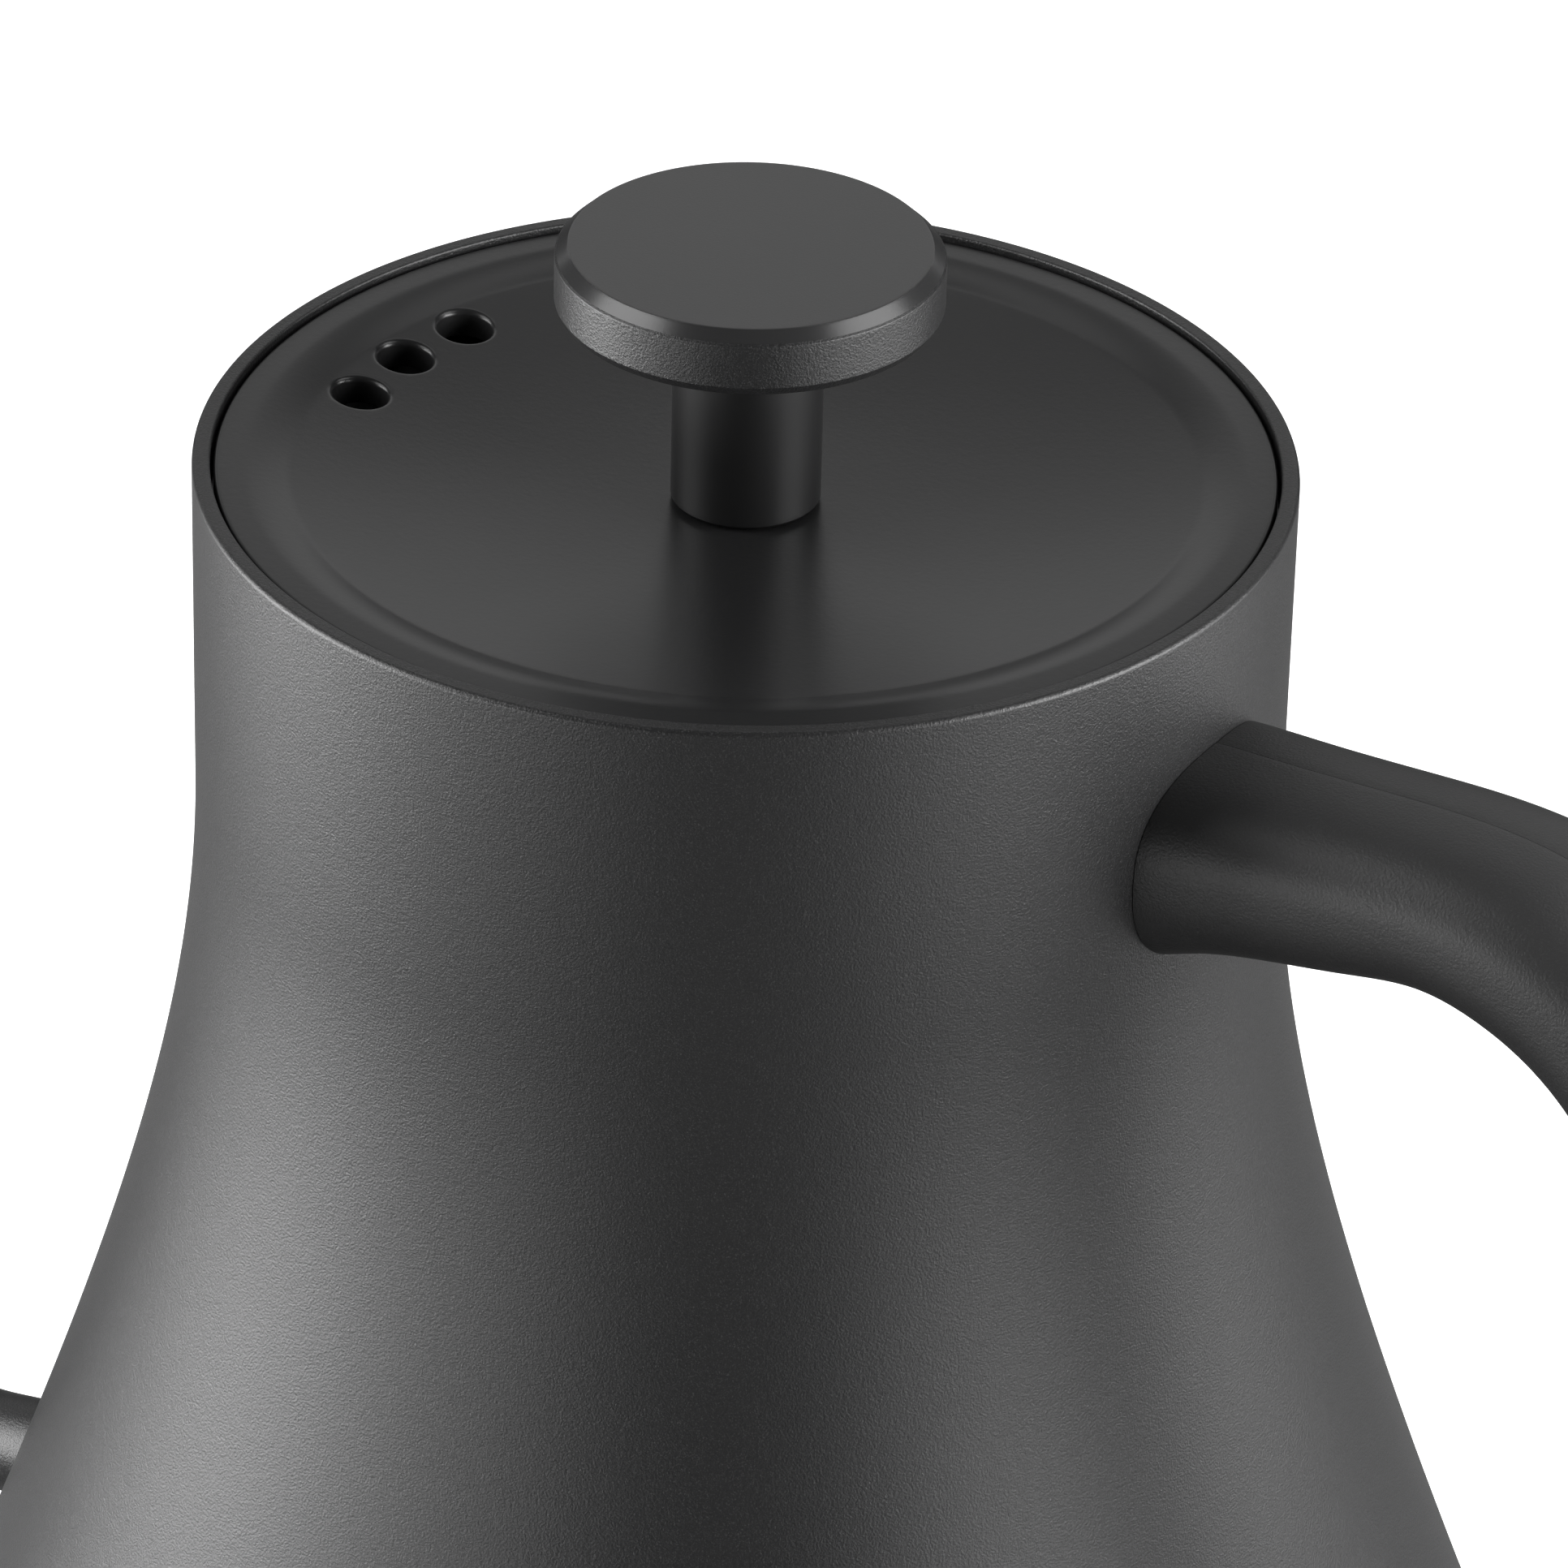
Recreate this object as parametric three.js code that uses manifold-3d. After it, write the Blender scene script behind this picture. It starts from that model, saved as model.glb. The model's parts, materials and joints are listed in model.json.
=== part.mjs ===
// An electric gooseneck kettle on its power base, in millimetres, +Z up.
// The origin is on the table, on the kettle's own axis. The handle points to +X, the spout to -X.
import * as THREE from "three";
import { mergeVertices } from "three/addons/utils/BufferGeometryUtils.js";
import Module from "manifold-3d";

const wasm = await Module();
wasm.setup();

// ---- driving dimensions ----
const GAP = 0.3; // between two pieces that touch
const ROUND = 36; // sides of a large turned piece
const FINE = 20; // sides of a small turned piece
const SMALL = 10; // sides of a screw or a pin

const NECK_R = 48.3; // outside of the straight neck
const NECK_LENGTH = 31.2; // from the rim down to where the wall starts to flare
const FLARE_SLOPE = 0.442; // the lean that the flare tends to
const FLARE_EASE = 57.9; // how slowly the flare sets in
const WALL = 1.3;
const BODY_H = 150;
const FOOT_ARC = 5; // corner radius where the wall turns under
const RIM_ARC = 0.5;
const RIM_R = 46.95; // inside of the rim

const BASE_TOP = 22;
const JUG_Z = BASE_TOP + GAP; // the jug's own zero, its resting edge
const DECK_R = 77; // round part of the base, under the jug
const NOSE_X = 92; // centre of the base's nose, under the handle
const NOSE_R = 28;
const BASE_FLOOR = 2.2;
const BASE_WALL = 2.2;
const FOOT_R = 6;

const LID_R = 46.45;
const LID_RING_Z = -0.65; // the lid's flat outer ring, below the rim
const LID_STEP_Z = -1.4; // inside the step, where the dish starts
const LID_DISH_Z = -4.1; // the dish's centre, where the knob stands
const LID_STEP_R = 40.2;
const LID_RING_R = 43.6;
const VENT_R = 2.5;
const VENT_PITCH_R = 36.9;
const VENT_MIDDLE = 178.6; // degrees, the bearing of the middle vent as the lid lies in the neck
const VENT_STEP = 12.3; // degrees between two vents
const STEM_R = 6.58;
const KNOB_R = 16.94;
const KNOB_FACE_R = 15.77;
const KNOB_Z = [14.8, 15.65, 19.6, 20.75]; // underside, its chamfer's top, the upper chamfer, top face

const CHAMBER_FLOOR = 22; // raised middle of the chamber floor, above the jug's zero
const TROUGH_FLOOR = 10.4; // the gutter round it, which feeds the spout
const PLATE = 0.9;
const POST_R = 62; // circle of the three screws in the bottom cover
const POST_ANGLES = [30, 150, 270];
const ELEMENT_R = 33; // the heating element's ring
const ELEMENT_TUBE = 3;
const ELEMENT_Z = 14.6;
const ELEMENT_OPEN = 22; // degrees each side of +Y that the ring leaves open
const PROBE_R = 46;
const PROBE_ANGLE = 210;
const CONNECTOR_R = 23.4; // the jug's half of the cordless connector

const SPOUT_Z = 14.2; // centre of the spout's root
const SPOUT_BORE = 3.5;
const SPOUT_SKIN = 1.2;
const SPOUT_TIP_X = -125;
// Centre line [x, z], with the outer radius there. It starts inside the wall.
const SPOUT_LINE = [
  [-70, SPOUT_Z, 5], [-79, 13.7, 5], [-90, 12.4, 5], [-98.5, 15.5, 5.3], [-103.4, 23.5, 5.6],
  [-105.4, 36, 5.9], [-106, 54, 6.1], [-106.2, 74, 6.2], [-106.4, 92, 6.1], [-107, 112, 5.9],
  [-109.2, 127, 5.7], [-113, 138, 5.6], [-119, 144, 5.5],
  [SPOUT_TIP_X, 145.6, 5.5],
];

// The handle's spine, below the rim: [x, z, half depth, half width].
const ARM = [
  [46, -22.4, 9.7, 11.1], [50, -21.4, 8.75, 11], [56, -20.2, 7.85, 10.7], [64, -19.2, 7.2, 10.4],
  [73, -18.6, 6.9, 10.3],
];
const BEND_R = 29;
const BEND_TURN = 74; // degrees
// The grip below the bend: [distance from the bend, half depth, half width].
const GRIP = [
  [10, 9.6, 11.8], [26, 9.9, 12], [44, 9.6, 11.7], [56, 8.9, 10.9], [61.5, 7.6, 9.4],
  [64, 5.4, 6.8], [64.6, 3, 4],
];
const SHELL = 2.6;
const CORNER = 2.45; // exponent of the rounded-square section
const HANDLE_SCREW_X = 55;

const DIAL_X = 98;
const DIAL_R = 12;
const DIAL_TOP = 28.8; // the spout passes over it as the jug turns
const DISPLAY = [36, 10]; // visible window, width and height
const BOSS_R = 15.2; // the base's half of the cordless connector
const BOSS_TOP = 32.5;
const GROOVES = [[5.9, 8.1], [10.4, 12.6]]; // annular slots in the boss
const BOARD_TOP = 7.6;
const CORD_Z = 11.6;
const CORD_HOLE = 4;

const THREAD_R = 1.75; // pilot hole of a self-tapping screw
const CLEAR_R = 1.8; // hole that a screw passes through
const HEAD_HOLE_R = 3.3;

// ---- materials ----
const finish = (color, roughness, metalness = 0) =>
  new THREE.MeshStandardMaterial({ color, roughness, metalness });
const powderCoat = finish(0x2b2b2b, 0.55);
const satinBlack = finish(0x2e2e2e, 0.45);
const gripPlastic = finish(0x262626, 0.6);
const blackPlastic = finish(0x1c1c1c, 0.55);
const stainless = finish(0xb8b8ba, 0.3, 1);
const aluminium = finish(0xc4c6c8, 0.4, 1);
const zinc = finish(0x8d9094, 0.5, 1);
const brass = finish(0xc39a4a, 0.35, 1);
const silicone = finish(0x4a4a4a, 0.7);
const rubber = finish(0x151515, 0.85);
const boardGreen = finish(0x1f5a3a, 0.6);
const smokedGlass = finish(0x0b0d0f, 0.1);

// ---- shaping helpers ----
const radians = THREE.MathUtils.degToRad;

// A closed mesh as a manifold-3d solid, turned right side out.
function toSolid(geometry) {
  const loose = geometry.index ? geometry.toNonIndexed() : geometry.clone();
  loose.deleteAttribute("normal");
  loose.deleteAttribute("uv");
  const merged = mergeVertices(loose, 1e-4);
  const faces = new Uint32Array(merged.index.array);
  const build = () =>
    new wasm.Manifold(
      new wasm.Mesh({
        numProp: 3,
        vertProperties: merged.attributes.position.array,
        triVerts: faces,
      }),
    );
  const solid = build();
  if (solid.volume() > 0) return solid;
  for (let i = 0; i < faces.length; i += 3) {
    [faces[i + 1], faces[i + 2]] = [faces[i + 2], faces[i + 1]];
  }
  return build();
}

function toGeometry(solid) {
  const { vertProperties, triVerts } = solid.getMesh();
  const geometry = new THREE.BufferGeometry();
  geometry.setAttribute("position", new THREE.BufferAttribute(vertProperties, 3));
  geometry.setIndex(new THREE.BufferAttribute(triVerts, 1));
  geometry.computeVertexNormals();
  return geometry;
}

const outward = (geometry) => toGeometry(toSolid(geometry));
const cut = (geometry, ...tools) =>
  toGeometry(tools.reduce((rest, tool) => rest.subtract(toSolid(tool)), toSolid(geometry)));
const join = (...pieces) =>
  toGeometry(pieces.map(toSolid).reduce((whole, piece) => whole.add(piece)));
const common = (a, b) => toGeometry(toSolid(a).intersect(toSolid(b)));

// Turns a profile of [radius, z] points about Z. It closes on itself unless it ends on the axis.
function turned(profile, sides = ROUND) {
  const points = profile.map(([r, z]) => new THREE.Vector2(r, z));
  const onAxis = points[0].x === 0 && points[points.length - 1].x === 0;
  if (!onAxis) points.push(points[0].clone());
  return outward(new THREE.LatheGeometry(points, sides).rotateX(Math.PI / 2));
}

const rod = (r, z0, z1, sides = FINE) => turned([[0, z0], [r, z0], [r, z1], [0, z1]], sides);
const ring = (r0, r1, z0, z1, sides = ROUND) =>
  turned([[r0, z0], [r1, z0], [r1, z1], [r0, z1]], sides);
const block = (x, y, z) => new THREE.BoxGeometry(x, y, z);

// [radius, z] points along an arc in a turned profile, angles in degrees from the radius axis.
function arc(r, z, size, from, to, steps) {
  return Array.from({ length: steps + 1 }, (_, i) => {
    const a = radians(from + ((to - from) * i) / steps);
    return [r + size * Math.cos(a), z + size * Math.sin(a)];
  });
}

// A closed skin through rings of points, each with the same number of points, with flat ends.
function loft(rings) {
  const n = rings[0].length;
  const centre = (points) =>
    points.reduce((sum, p) => sum.add(p), new THREE.Vector3()).divideScalar(n);
  const all = [...rings.flat(), centre(rings[0]), centre(rings.at(-1))];
  const faces = [];
  for (let k = 0; k < rings.length - 1; k++) {
    for (let i = 0; i < n; i++) {
      const j = (i + 1) % n;
      const [a, b, c, d] = [k * n + i, k * n + j, (k + 1) * n + j, (k + 1) * n + i];
      faces.push(a, b, c, a, c, d);
    }
  }
  const last = (rings.length - 1) * n;
  for (let i = 0; i < n; i++) {
    const j = (i + 1) % n;
    faces.push(all.length - 2, j, i, all.length - 1, last + i, last + j);
  }
  const geometry = new THREE.BufferGeometry().setFromPoints(all);
  geometry.setIndex(faces);
  return outward(geometry);
}

// Places a named piece in a group.
function add(group, name, geometry, material, x = 0, y = 0, z = 0) {
  const mesh = new THREE.Mesh(geometry, material);
  mesh.name = name;
  mesh.position.set(x, y, z);
  group.add(mesh);
  return mesh;
}

function subGroup(parent, x = 0, y = 0, z = 0) {
  const group = new THREE.Group();
  group.position.set(x, y, z);
  parent.add(group);
  return group;
}

const polar = (r, degrees) => [r * Math.cos(radians(degrees)), r * Math.sin(radians(degrees))];

// ---- the wall: a straight neck that eases into a flared skirt ----
function wallRadius(depth) {
  const run = Math.max(0, depth - NECK_LENGTH);
  return NECK_R + FLARE_SLOPE * (Math.hypot(run, FLARE_EASE) - FLARE_EASE);
}

function wallLean(depth) {
  const run = Math.max(0, depth - NECK_LENGTH);
  return THREE.MathUtils.radToDeg(Math.atan((FLARE_SLOPE * run) / Math.hypot(run, FLARE_EASE)));
}

const insideWall = (z) => wallRadius(BODY_H - z) - WALL - GAP;

function kettleBody() {
  const lean = wallLean(BODY_H - FOOT_ARC);
  const footTop = FOOT_ARC * (1 + Math.sin(radians(lean)));
  const footR = wallRadius(BODY_H - footTop) - FOOT_ARC * Math.cos(radians(lean));
  const levels = [footTop, 26, 46, 66, 84, 102, BODY_H - NECK_LENGTH];
  const outside = levels.map((z) => [wallRadius(BODY_H - z), z]);
  const inside = outside.map(([r, z]) => [r - WALL, z]).reverse();
  const profile = [
    ...arc(footR, FOOT_ARC, FOOT_ARC, -90, lean - 18, 3),
    ...outside,
    ...arc(NECK_R - RIM_ARC, BODY_H - RIM_ARC, RIM_ARC, 0, 90, 3),
    [RIM_R + 0.3, BODY_H],
    [RIM_R, BODY_H - 0.3],
    ...inside,
    ...arc(footR, FOOT_ARC, FOOT_ARC - WALL, lean - 18, -90, 3),
  ];
  const bore = rod(SPOUT_BORE, 55, 95, 20).rotateY(-Math.PI / 2).translate(0, 0, SPOUT_Z);
  return cut(turned(profile), bore);
}

// ---- the jug's floor and what heats it ----
function floorPlate() {
  const edge = insideWall(TROUGH_FLOOR);
  const plate = turned([
    [0, CHAMBER_FLOOR - PLATE], [51.4, CHAMBER_FLOOR - PLATE],
    [57.4, TROUGH_FLOOR - PLATE], [edge, TROUGH_FLOOR - PLATE],
    [edge, TROUGH_FLOOR], [58, TROUGH_FLOOR],
    [52, CHAMBER_FLOOR], [0, CHAMBER_FLOOR],
  ]);
  const posts = POST_ANGLES.map((a) =>
    rod(3.4, 3.4, TROUGH_FLOOR - PLATE / 2, SMALL).translate(...polar(POST_R, a), 0));
  const threads = POST_ANGLES.map((a) =>
    rod(THREAD_R, 3, 8.6, SMALL).translate(...polar(POST_R, a), 0));
  const probe = rod(3, 10, 30, SMALL).translate(...polar(PROBE_R, PROBE_ANGLE), 0);
  return cut(join(plate, ...posts), ...threads, probe);
}

function heatingElement() {
  const place = (degrees, z) => {
    const [x, y] = polar(ELEMENT_R, 90 + degrees);
    return new THREE.Vector3(x, y, z);
  };
  const turn = Array.from({ length: 13 }, (_, i) =>
    place(ELEMENT_OPEN + 6 + ((348 - 2 * ELEMENT_OPEN) * i) / 12, ELEMENT_Z));
  const path = new THREE.CatmullRomCurve3([
    place(ELEMENT_OPEN, 7.4), place(ELEMENT_OPEN, 11),
    ...turn,
    place(-ELEMENT_OPEN, 11), place(-ELEMENT_OPEN, 7.4),
  ]);
  const section = new THREE.Shape().absarc(0, 0, ELEMENT_TUBE, 0, 2 * Math.PI);
  return outward(new THREE.ExtrudeGeometry(section, {
    steps: 34, extrudePath: path, curveSegments: 4, bevelEnabled: false,
  }));
}

function buildHeater(jug) {
  add(jug, "floor_plate", floorPlate(), stainless);
  const under = CHAMBER_FLOOR - PLATE - GAP;
  add(jug, "heat_spreader", ring(12, 41.5, under - 2.4, under), aluminium);
  add(jug, "bimetal_disc", rod(9, under - 0.7, under, FINE), brass);
  add(jug, "heating_element", heatingElement(), stainless);
  ["live", "neutral"].forEach((side, i) => {
    const [x, y] = polar(ELEMENT_R, 90 + ELEMENT_OPEN * (1 - 2 * i));
    add(jug, `element_terminal_${side}`, block(4, 0.8, 3.4), brass, x, y, 5.3);
  });
  const probe = turned([
    [0, 13.5], [2.6, 13.5], [2.6, 16.5], [4, 16.5], [4, under], [2.6, under],
    [2.6, 27.5], [1.6, 28.6], [0, 28.6],
  ], SMALL);
  add(jug, "temperature_probe", probe, stainless, ...polar(PROBE_R, PROBE_ANGLE));
}

// ---- the two halves of the cordless connector ----
function buildJugConnector(jug) {
  const socket = turned([
    [0, 11], [16.2, 11], [16.2, 3.6], [20, 3.6], [20, 1], [CONNECTOR_R, 1],
    [CONNECTOR_R, 12.4], [0, 12.4],
  ], FINE);
  add(jug, "jug_connector", socket, blackPlastic);
  add(jug, "jug_centre_pin", rod(1.9, 3.6, 11 - GAP, SMALL), brass);
  GROOVES.forEach(([r0, r1], i) => {
    const middle = (r0 + r1) / 2;
    const name = ["jug_inner_ring", "jug_outer_ring"][i];
    add(jug, name, ring(middle - 0.4, middle + 0.4, 5, 11 - GAP, FINE), brass);
  });
  const housing = cut(
    turned([[0, 12.7], [21, 12.7], [23, 14], [23, 17.4], [0, 17.4]], FINE),
    block(12, 60, 4).translate(24, 0, 17), block(12, 60, 4).translate(-24, 0, 17),
  );
  add(jug, "control_housing", housing, blackPlastic);
}

function buildBottomCover(jug) {
  const outer = 73.1;
  const disc = turned([
    [CONNECTOR_R + 0.4, 1], [outer, 1], [outer, 7.4], [outer - 1.6, 7.4], [outer - 1.6, 3],
    [CONNECTOR_R + 0.4, 3],
  ]);
  const holes = POST_ANGLES.flatMap((a) => [
    rod(CLEAR_R, 0, 4, SMALL).translate(...polar(POST_R, a), 0),
    rod(HEAD_HOLE_R, 0, 2.1, SMALL).translate(...polar(POST_R, a), 0),
  ]);
  add(jug, "bottom_cover", cut(disc, ...holes), blackPlastic);
  POST_ANGLES.forEach((a, i) => {
    add(jug, `cover_screw_${i + 1}`, screw(2.9, 0.7, 1.4, 6.6), stainless, ...polar(POST_R, a), 1.1);
  });
  add(jug, "bottom_seal", ring(73.5, 76.2, 3.6, 6.4), silicone);
}

// A screw that points up, its head's outer face at zero, with a cross recess.
function screw(headR, headH, shankR, length) {
  const body = turned([
    [0, 0], [headR, 0], [headR, headH], [shankR, headH], [shankR, length - 0.8],
    [shankR / 2, length], [0, length],
  ], SMALL);
  const slot = headR * 1.1;
  const deep = headH * 0.7;
  const bars = [[slot, 0.6], [0.6, slot]].map(([x, y]) => block(x, y, 2 * deep));
  return cut(body, ...bars);
}

// ---- the gooseneck spout ----
function spoutRings(thinner, stations, sides) {
  const line = new THREE.CatmullRomCurve3(
    SPOUT_LINE.map(([x, z, r]) => new THREE.Vector3(x, r, z)), false, "centripetal");
  return Array.from({ length: stations + 1 }, (_, k) => {
    const t = k / stations;
    const p = line.getPoint(t);
    const along = line.getTangent(t).setY(0).normalize();
    const up = new THREE.Vector3(-along.z, 0, along.x);
    return Array.from({ length: sides }, (_, i) => {
      const a = (2 * Math.PI * i) / sides;
      const r = p.y - thinner;
      return new THREE.Vector3(p.x, 0, p.z)
        .addScaledVector(up, r * Math.cos(a))
        .add(new THREE.Vector3(0, r * Math.sin(a), 0));
    });
  });
}

// The bore is the same tube, thinner, run on past both ends.
function spout() {
  const stations = 26;
  const bore = spoutRings(SPOUT_SKIN, stations, 12);
  const tip = bore.at(-1).map((p) => p.clone().add(new THREE.Vector3(-4, 0, 0.8)));
  const root = bore[0].map((p) => p.clone().add(new THREE.Vector3(8, 0, 0)));
  const levels = [0, 10, 20, 30, 40, 50];
  const wall = turned([
    [0, 0], ...levels.map((z) => [wallRadius(BODY_H - z) + GAP, z]), [0, 50],
  ]);
  return cut(loft(spoutRings(0, stations, 12)), loft([root, ...bore, tip]), wall);
}

// ---- the handle: an arm that leaves the neck and bends down into a free grip ----
// Spine stations in the rim's frame, [x, z, half depth, half width], from the neck to the free end.
function handleStations() {
  const [bx, bz] = ARM.at(-1);
  const centreZ = bz - BEND_R;
  const bend = [14, 30, 46, 61, BEND_TURN].map((degrees) => {
    const a = radians(degrees);
    const swell = degrees / BEND_TURN;
    return [bx + BEND_R * Math.sin(a), centreZ + BEND_R * Math.cos(a),
      6.9 + 2.3 * swell, 10.3 + 1.2 * swell];
  });
  const a = radians(BEND_TURN);
  const [ex, ez] = bend.at(-1);
  const grip = GRIP.map(([s, depth, width]) =>
    [ex + s * Math.cos(a), ez - s * Math.sin(a), depth, width]);
  return [...ARM, ...bend, ...grip];
}

function handleRings(thinner, from, to, sides) {
  const stations = handleStations();
  return stations.slice(from, to).map(([x, z, depth, width], k) => {
    const i = k + from;
    const before = stations[Math.max(0, i - 1)];
    const after = stations[Math.min(stations.length - 1, i + 1)];
    const along = new THREE.Vector3(after[0] - before[0], 0, after[1] - before[1]).normalize();
    const up = new THREE.Vector3(-along.z, 0, along.x);
    return Array.from({ length: sides }, (_, j) => {
      const angle = (2 * Math.PI * (j + 0.5)) / sides;
      const [c, s] = [Math.cos(angle), Math.sin(angle)];
      const bulge = (Math.abs(c) ** CORNER + Math.abs(s) ** CORNER) ** (-1 / CORNER);
      return new THREE.Vector3(x, (width - thinner) * s * bulge, z)
        .addScaledVector(up, (depth - thinner) * c * bulge);
    });
  });
}

function buildHandle(rim) {
  const count = handleStations().length;
  const neck = rod(NECK_R + GAP, -60, 10, ROUND);
  const whole = cut(
    loft(handleRings(0, 0, count, 20)),
    loft(handleRings(SHELL, 0, count - 3, 12)),
    neck,
    rod(2, -40, -22, SMALL).translate(HANDLE_SCREW_X, 0, 0),
    rod(3.4, -40, -27.6, SMALL).translate(HANDLE_SCREW_X, 0, 0),
  );
  ["left", "right"].forEach((side, i) => {
    const half = block(120, 30, 160).translate(90, (i ? 1 : -1) * (15 + GAP / 2), -60);
    add(rim, `handle_shell_${side}`, common(whole, half), gripPlastic);
  });
  const bracket = cut(block(14, 7, 6).translate(55, 0, -20.5), neck,
    rod(THREAD_R, -30, -17, SMALL).translate(HANDLE_SCREW_X, 0, 0));
  add(rim, "handle_bracket", bracket, stainless);
  add(rim, "handle_screw", screw(3, 1.1, 1.4, 10), stainless, HANDLE_SCREW_X, 0, -29);
  add(rim, "handle_core", loft(coreRings(2, 12)), zinc);
  add(rim, "handle_weight", loft(handleRings(SHELL + GAP, 12, count - 3, 12)), zinc);
}

// A flat bar along the handle's spine.
function coreRings(from, to) {
  const bar = [[3, 3.4], [3, -3.4], [-3, -3.4], [-3, 3.4]];
  const rings = handleRings(0, from, to, 4);
  const stations = handleStations().slice(from, to);
  return rings.slice(1).map((points, k) => {
    const [x, z] = stations[k + 1];
    const up = points[0].clone().add(points[3]).setY(0).multiplyScalar(0.5)
      .sub(new THREE.Vector3(x, 0, z)).normalize();
    return bar.map(([u, y]) => new THREE.Vector3(x, y, z).addScaledVector(up, u));
  });
}

// ---- the lid and its knob, in the rim's frame ----
function buildLid(rim) {
  const lid = subGroup(rim);
  const screwHole = rod(2.4, -8, 2, SMALL);
  const vents = [-1, 0, 1].map((k) =>
    rod(VENT_R, -9, 2, 16).translate(...polar(VENT_PITCH_R, VENT_MIDDLE + k * VENT_STEP), 0));
  const cover = cut(turned([
    [0, LID_DISH_Z], [12, LID_DISH_Z + 0.2], [24, LID_DISH_Z + 0.87], [34, LID_DISH_Z + 1.86],
    [LID_STEP_R, LID_STEP_Z], [LID_RING_R, LID_RING_Z],
    [LID_R - 0.25, LID_RING_Z], [LID_R, LID_RING_Z - 0.25], [LID_R, -3],
    [43, -3], [38, -3.15], [30, -3.8], [22, -4.8], [0, -5.2],
  ]), screwHole, ...vents);
  add(lid, "lid_cover", cover, satinBlack);
  add(lid, "lid_skirt", turned([
    [41.4, -4], [43.4, -4], [43.4, -6.4], [42.4, -6.4], [42.4, -9.6], [43.4, -9.6],
    [43.4, -13], [39.4, -13], [39.4, -11.8], [41.4, -11.8],
  ]), blackPlastic);
  add(lid, "lid_seal", turned([
    [42.8, -9.2], [43.4, -9.2], [44.3, -8.6], [43.4, -6.8], [42.8, -6.8],
  ]), silicone);
  const drains = Array.from({ length: 4 }, (_, i) =>
    rod(3, -14, -9, 10).translate(...polar(24, 45 + 90 * i), 0));
  add(lid, "lid_baffle", cut(ring(2.4, 41, -11.5, -10.7), ...drains), stainless);
  add(lid, "lid_spacer", ring(2.4, 5.5, -10.4, -5.5, FINE), blackPlastic);
  add(lid, "knob_screw", screw(4.4, 2.2, 1.9, 32), stainless, 0, 0, -14);
  add(lid, "knob_stem", turned([
    [2.4, LID_DISH_Z + GAP], [STEM_R - 0.3, LID_DISH_Z + GAP], [STEM_R, LID_DISH_Z + 0.6],
    [STEM_R, KNOB_Z[0] - GAP], [2.4, KNOB_Z[0] - GAP],
  ], FINE), powderCoat);
  const [under, side, shoulder, face] = KNOB_Z;
  add(lid, "knob_cap", turned([
    [0, 18.6], [2.4, 18.6], [2.4, under], [KNOB_R - 0.45, under], [KNOB_R, side],
    [KNOB_R, shoulder], [KNOB_FACE_R, face], [0, face],
  ], 32), powderCoat);
}

// ---- the power base ----
// The base's egg-shaped outline, drawn in by inset: a big arc, a small arc and their tangents.
function baseOutline(inset, z) {
  const lean = Math.acos((DECK_R - NOSE_R) / NOSE_X);
  const bow = (cx, r, from, to, steps) => Array.from({ length: steps + 1 }, (_, i) => {
    const a = from + ((to - from) * i) / steps;
    return new THREE.Vector3(cx + r * Math.cos(a), r * Math.sin(a), z);
  });
  return [
    ...bow(0, DECK_R - inset, lean, 2 * Math.PI - lean, 26),
    ...bow(NOSE_X, NOSE_R - inset, -lean, lean, 12),
  ];
}

const slab = (...levels) => loft(levels.map(([inset, z]) => baseOutline(inset, z)));

// The flat side of the base that faces the user, as a frame: x along it, -y out of it.
function frontFrame() {
  const lean = Math.acos((DECK_R - NOSE_R) / NOSE_X);
  const turn = Math.PI / 2 - lean;
  const middle = new THREE.Vector3(
    (DECK_R * Math.cos(lean) + NOSE_X + NOSE_R * Math.cos(lean)) / 2,
    (-(DECK_R + NOSE_R) * Math.sin(lean)) / 2, 12.4);
  return { turn, middle };
}

const onFront = (geometry, out = 0) => {
  const { turn, middle } = frontFrame();
  return geometry.translate(0, out, 0).rotateZ(turn).translate(middle.x, middle.y, middle.z);
};

const bossPlaces = [polar(62, 125), polar(62, 235), [64, 26], [64, -26]];
const footPlaces = [polar(62, 150), polar(62, 210), [72, 28], [72, -28]];

function baseCover() {
  const shell = cut(
    slab([0.6, BASE_FLOOR], [0, BASE_FLOOR + 0.6], [0, BASE_TOP - 3], [0.7, BASE_TOP - 1],
      [2.8, BASE_TOP]),
    slab([BASE_WALL, 0], [BASE_WALL, BASE_TOP - 4], [BASE_WALL + 2, BASE_TOP - BASE_WALL]),
  );
  const bosses = bossPlaces.map(([x, y]) => rod(3.6, 4.8, BASE_TOP - 1, SMALL).translate(x, y, 0));
  const threads = bossPlaces.map(([x, y]) => rod(THREAD_R, 4, 15, SMALL).translate(x, y, 0));
  return cut(
    join(shell, ...bosses), ...threads,
    rod(BOSS_R + 0.6, 10, 30, FINE),
    rod(3.6, 10, 30, 20).translate(DIAL_X, 0, 0),
    onFront(block(DISPLAY[0] + 4, 1.6, DISPLAY[1] + 3), 0),
    onFront(block(DISPLAY[0], 12, DISPLAY[1])),
    rod(CORD_HOLE + 2.4, 60, 90, 20).rotateX(-Math.PI / 2).translate(0, 0, CORD_Z),
  );
}

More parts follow.
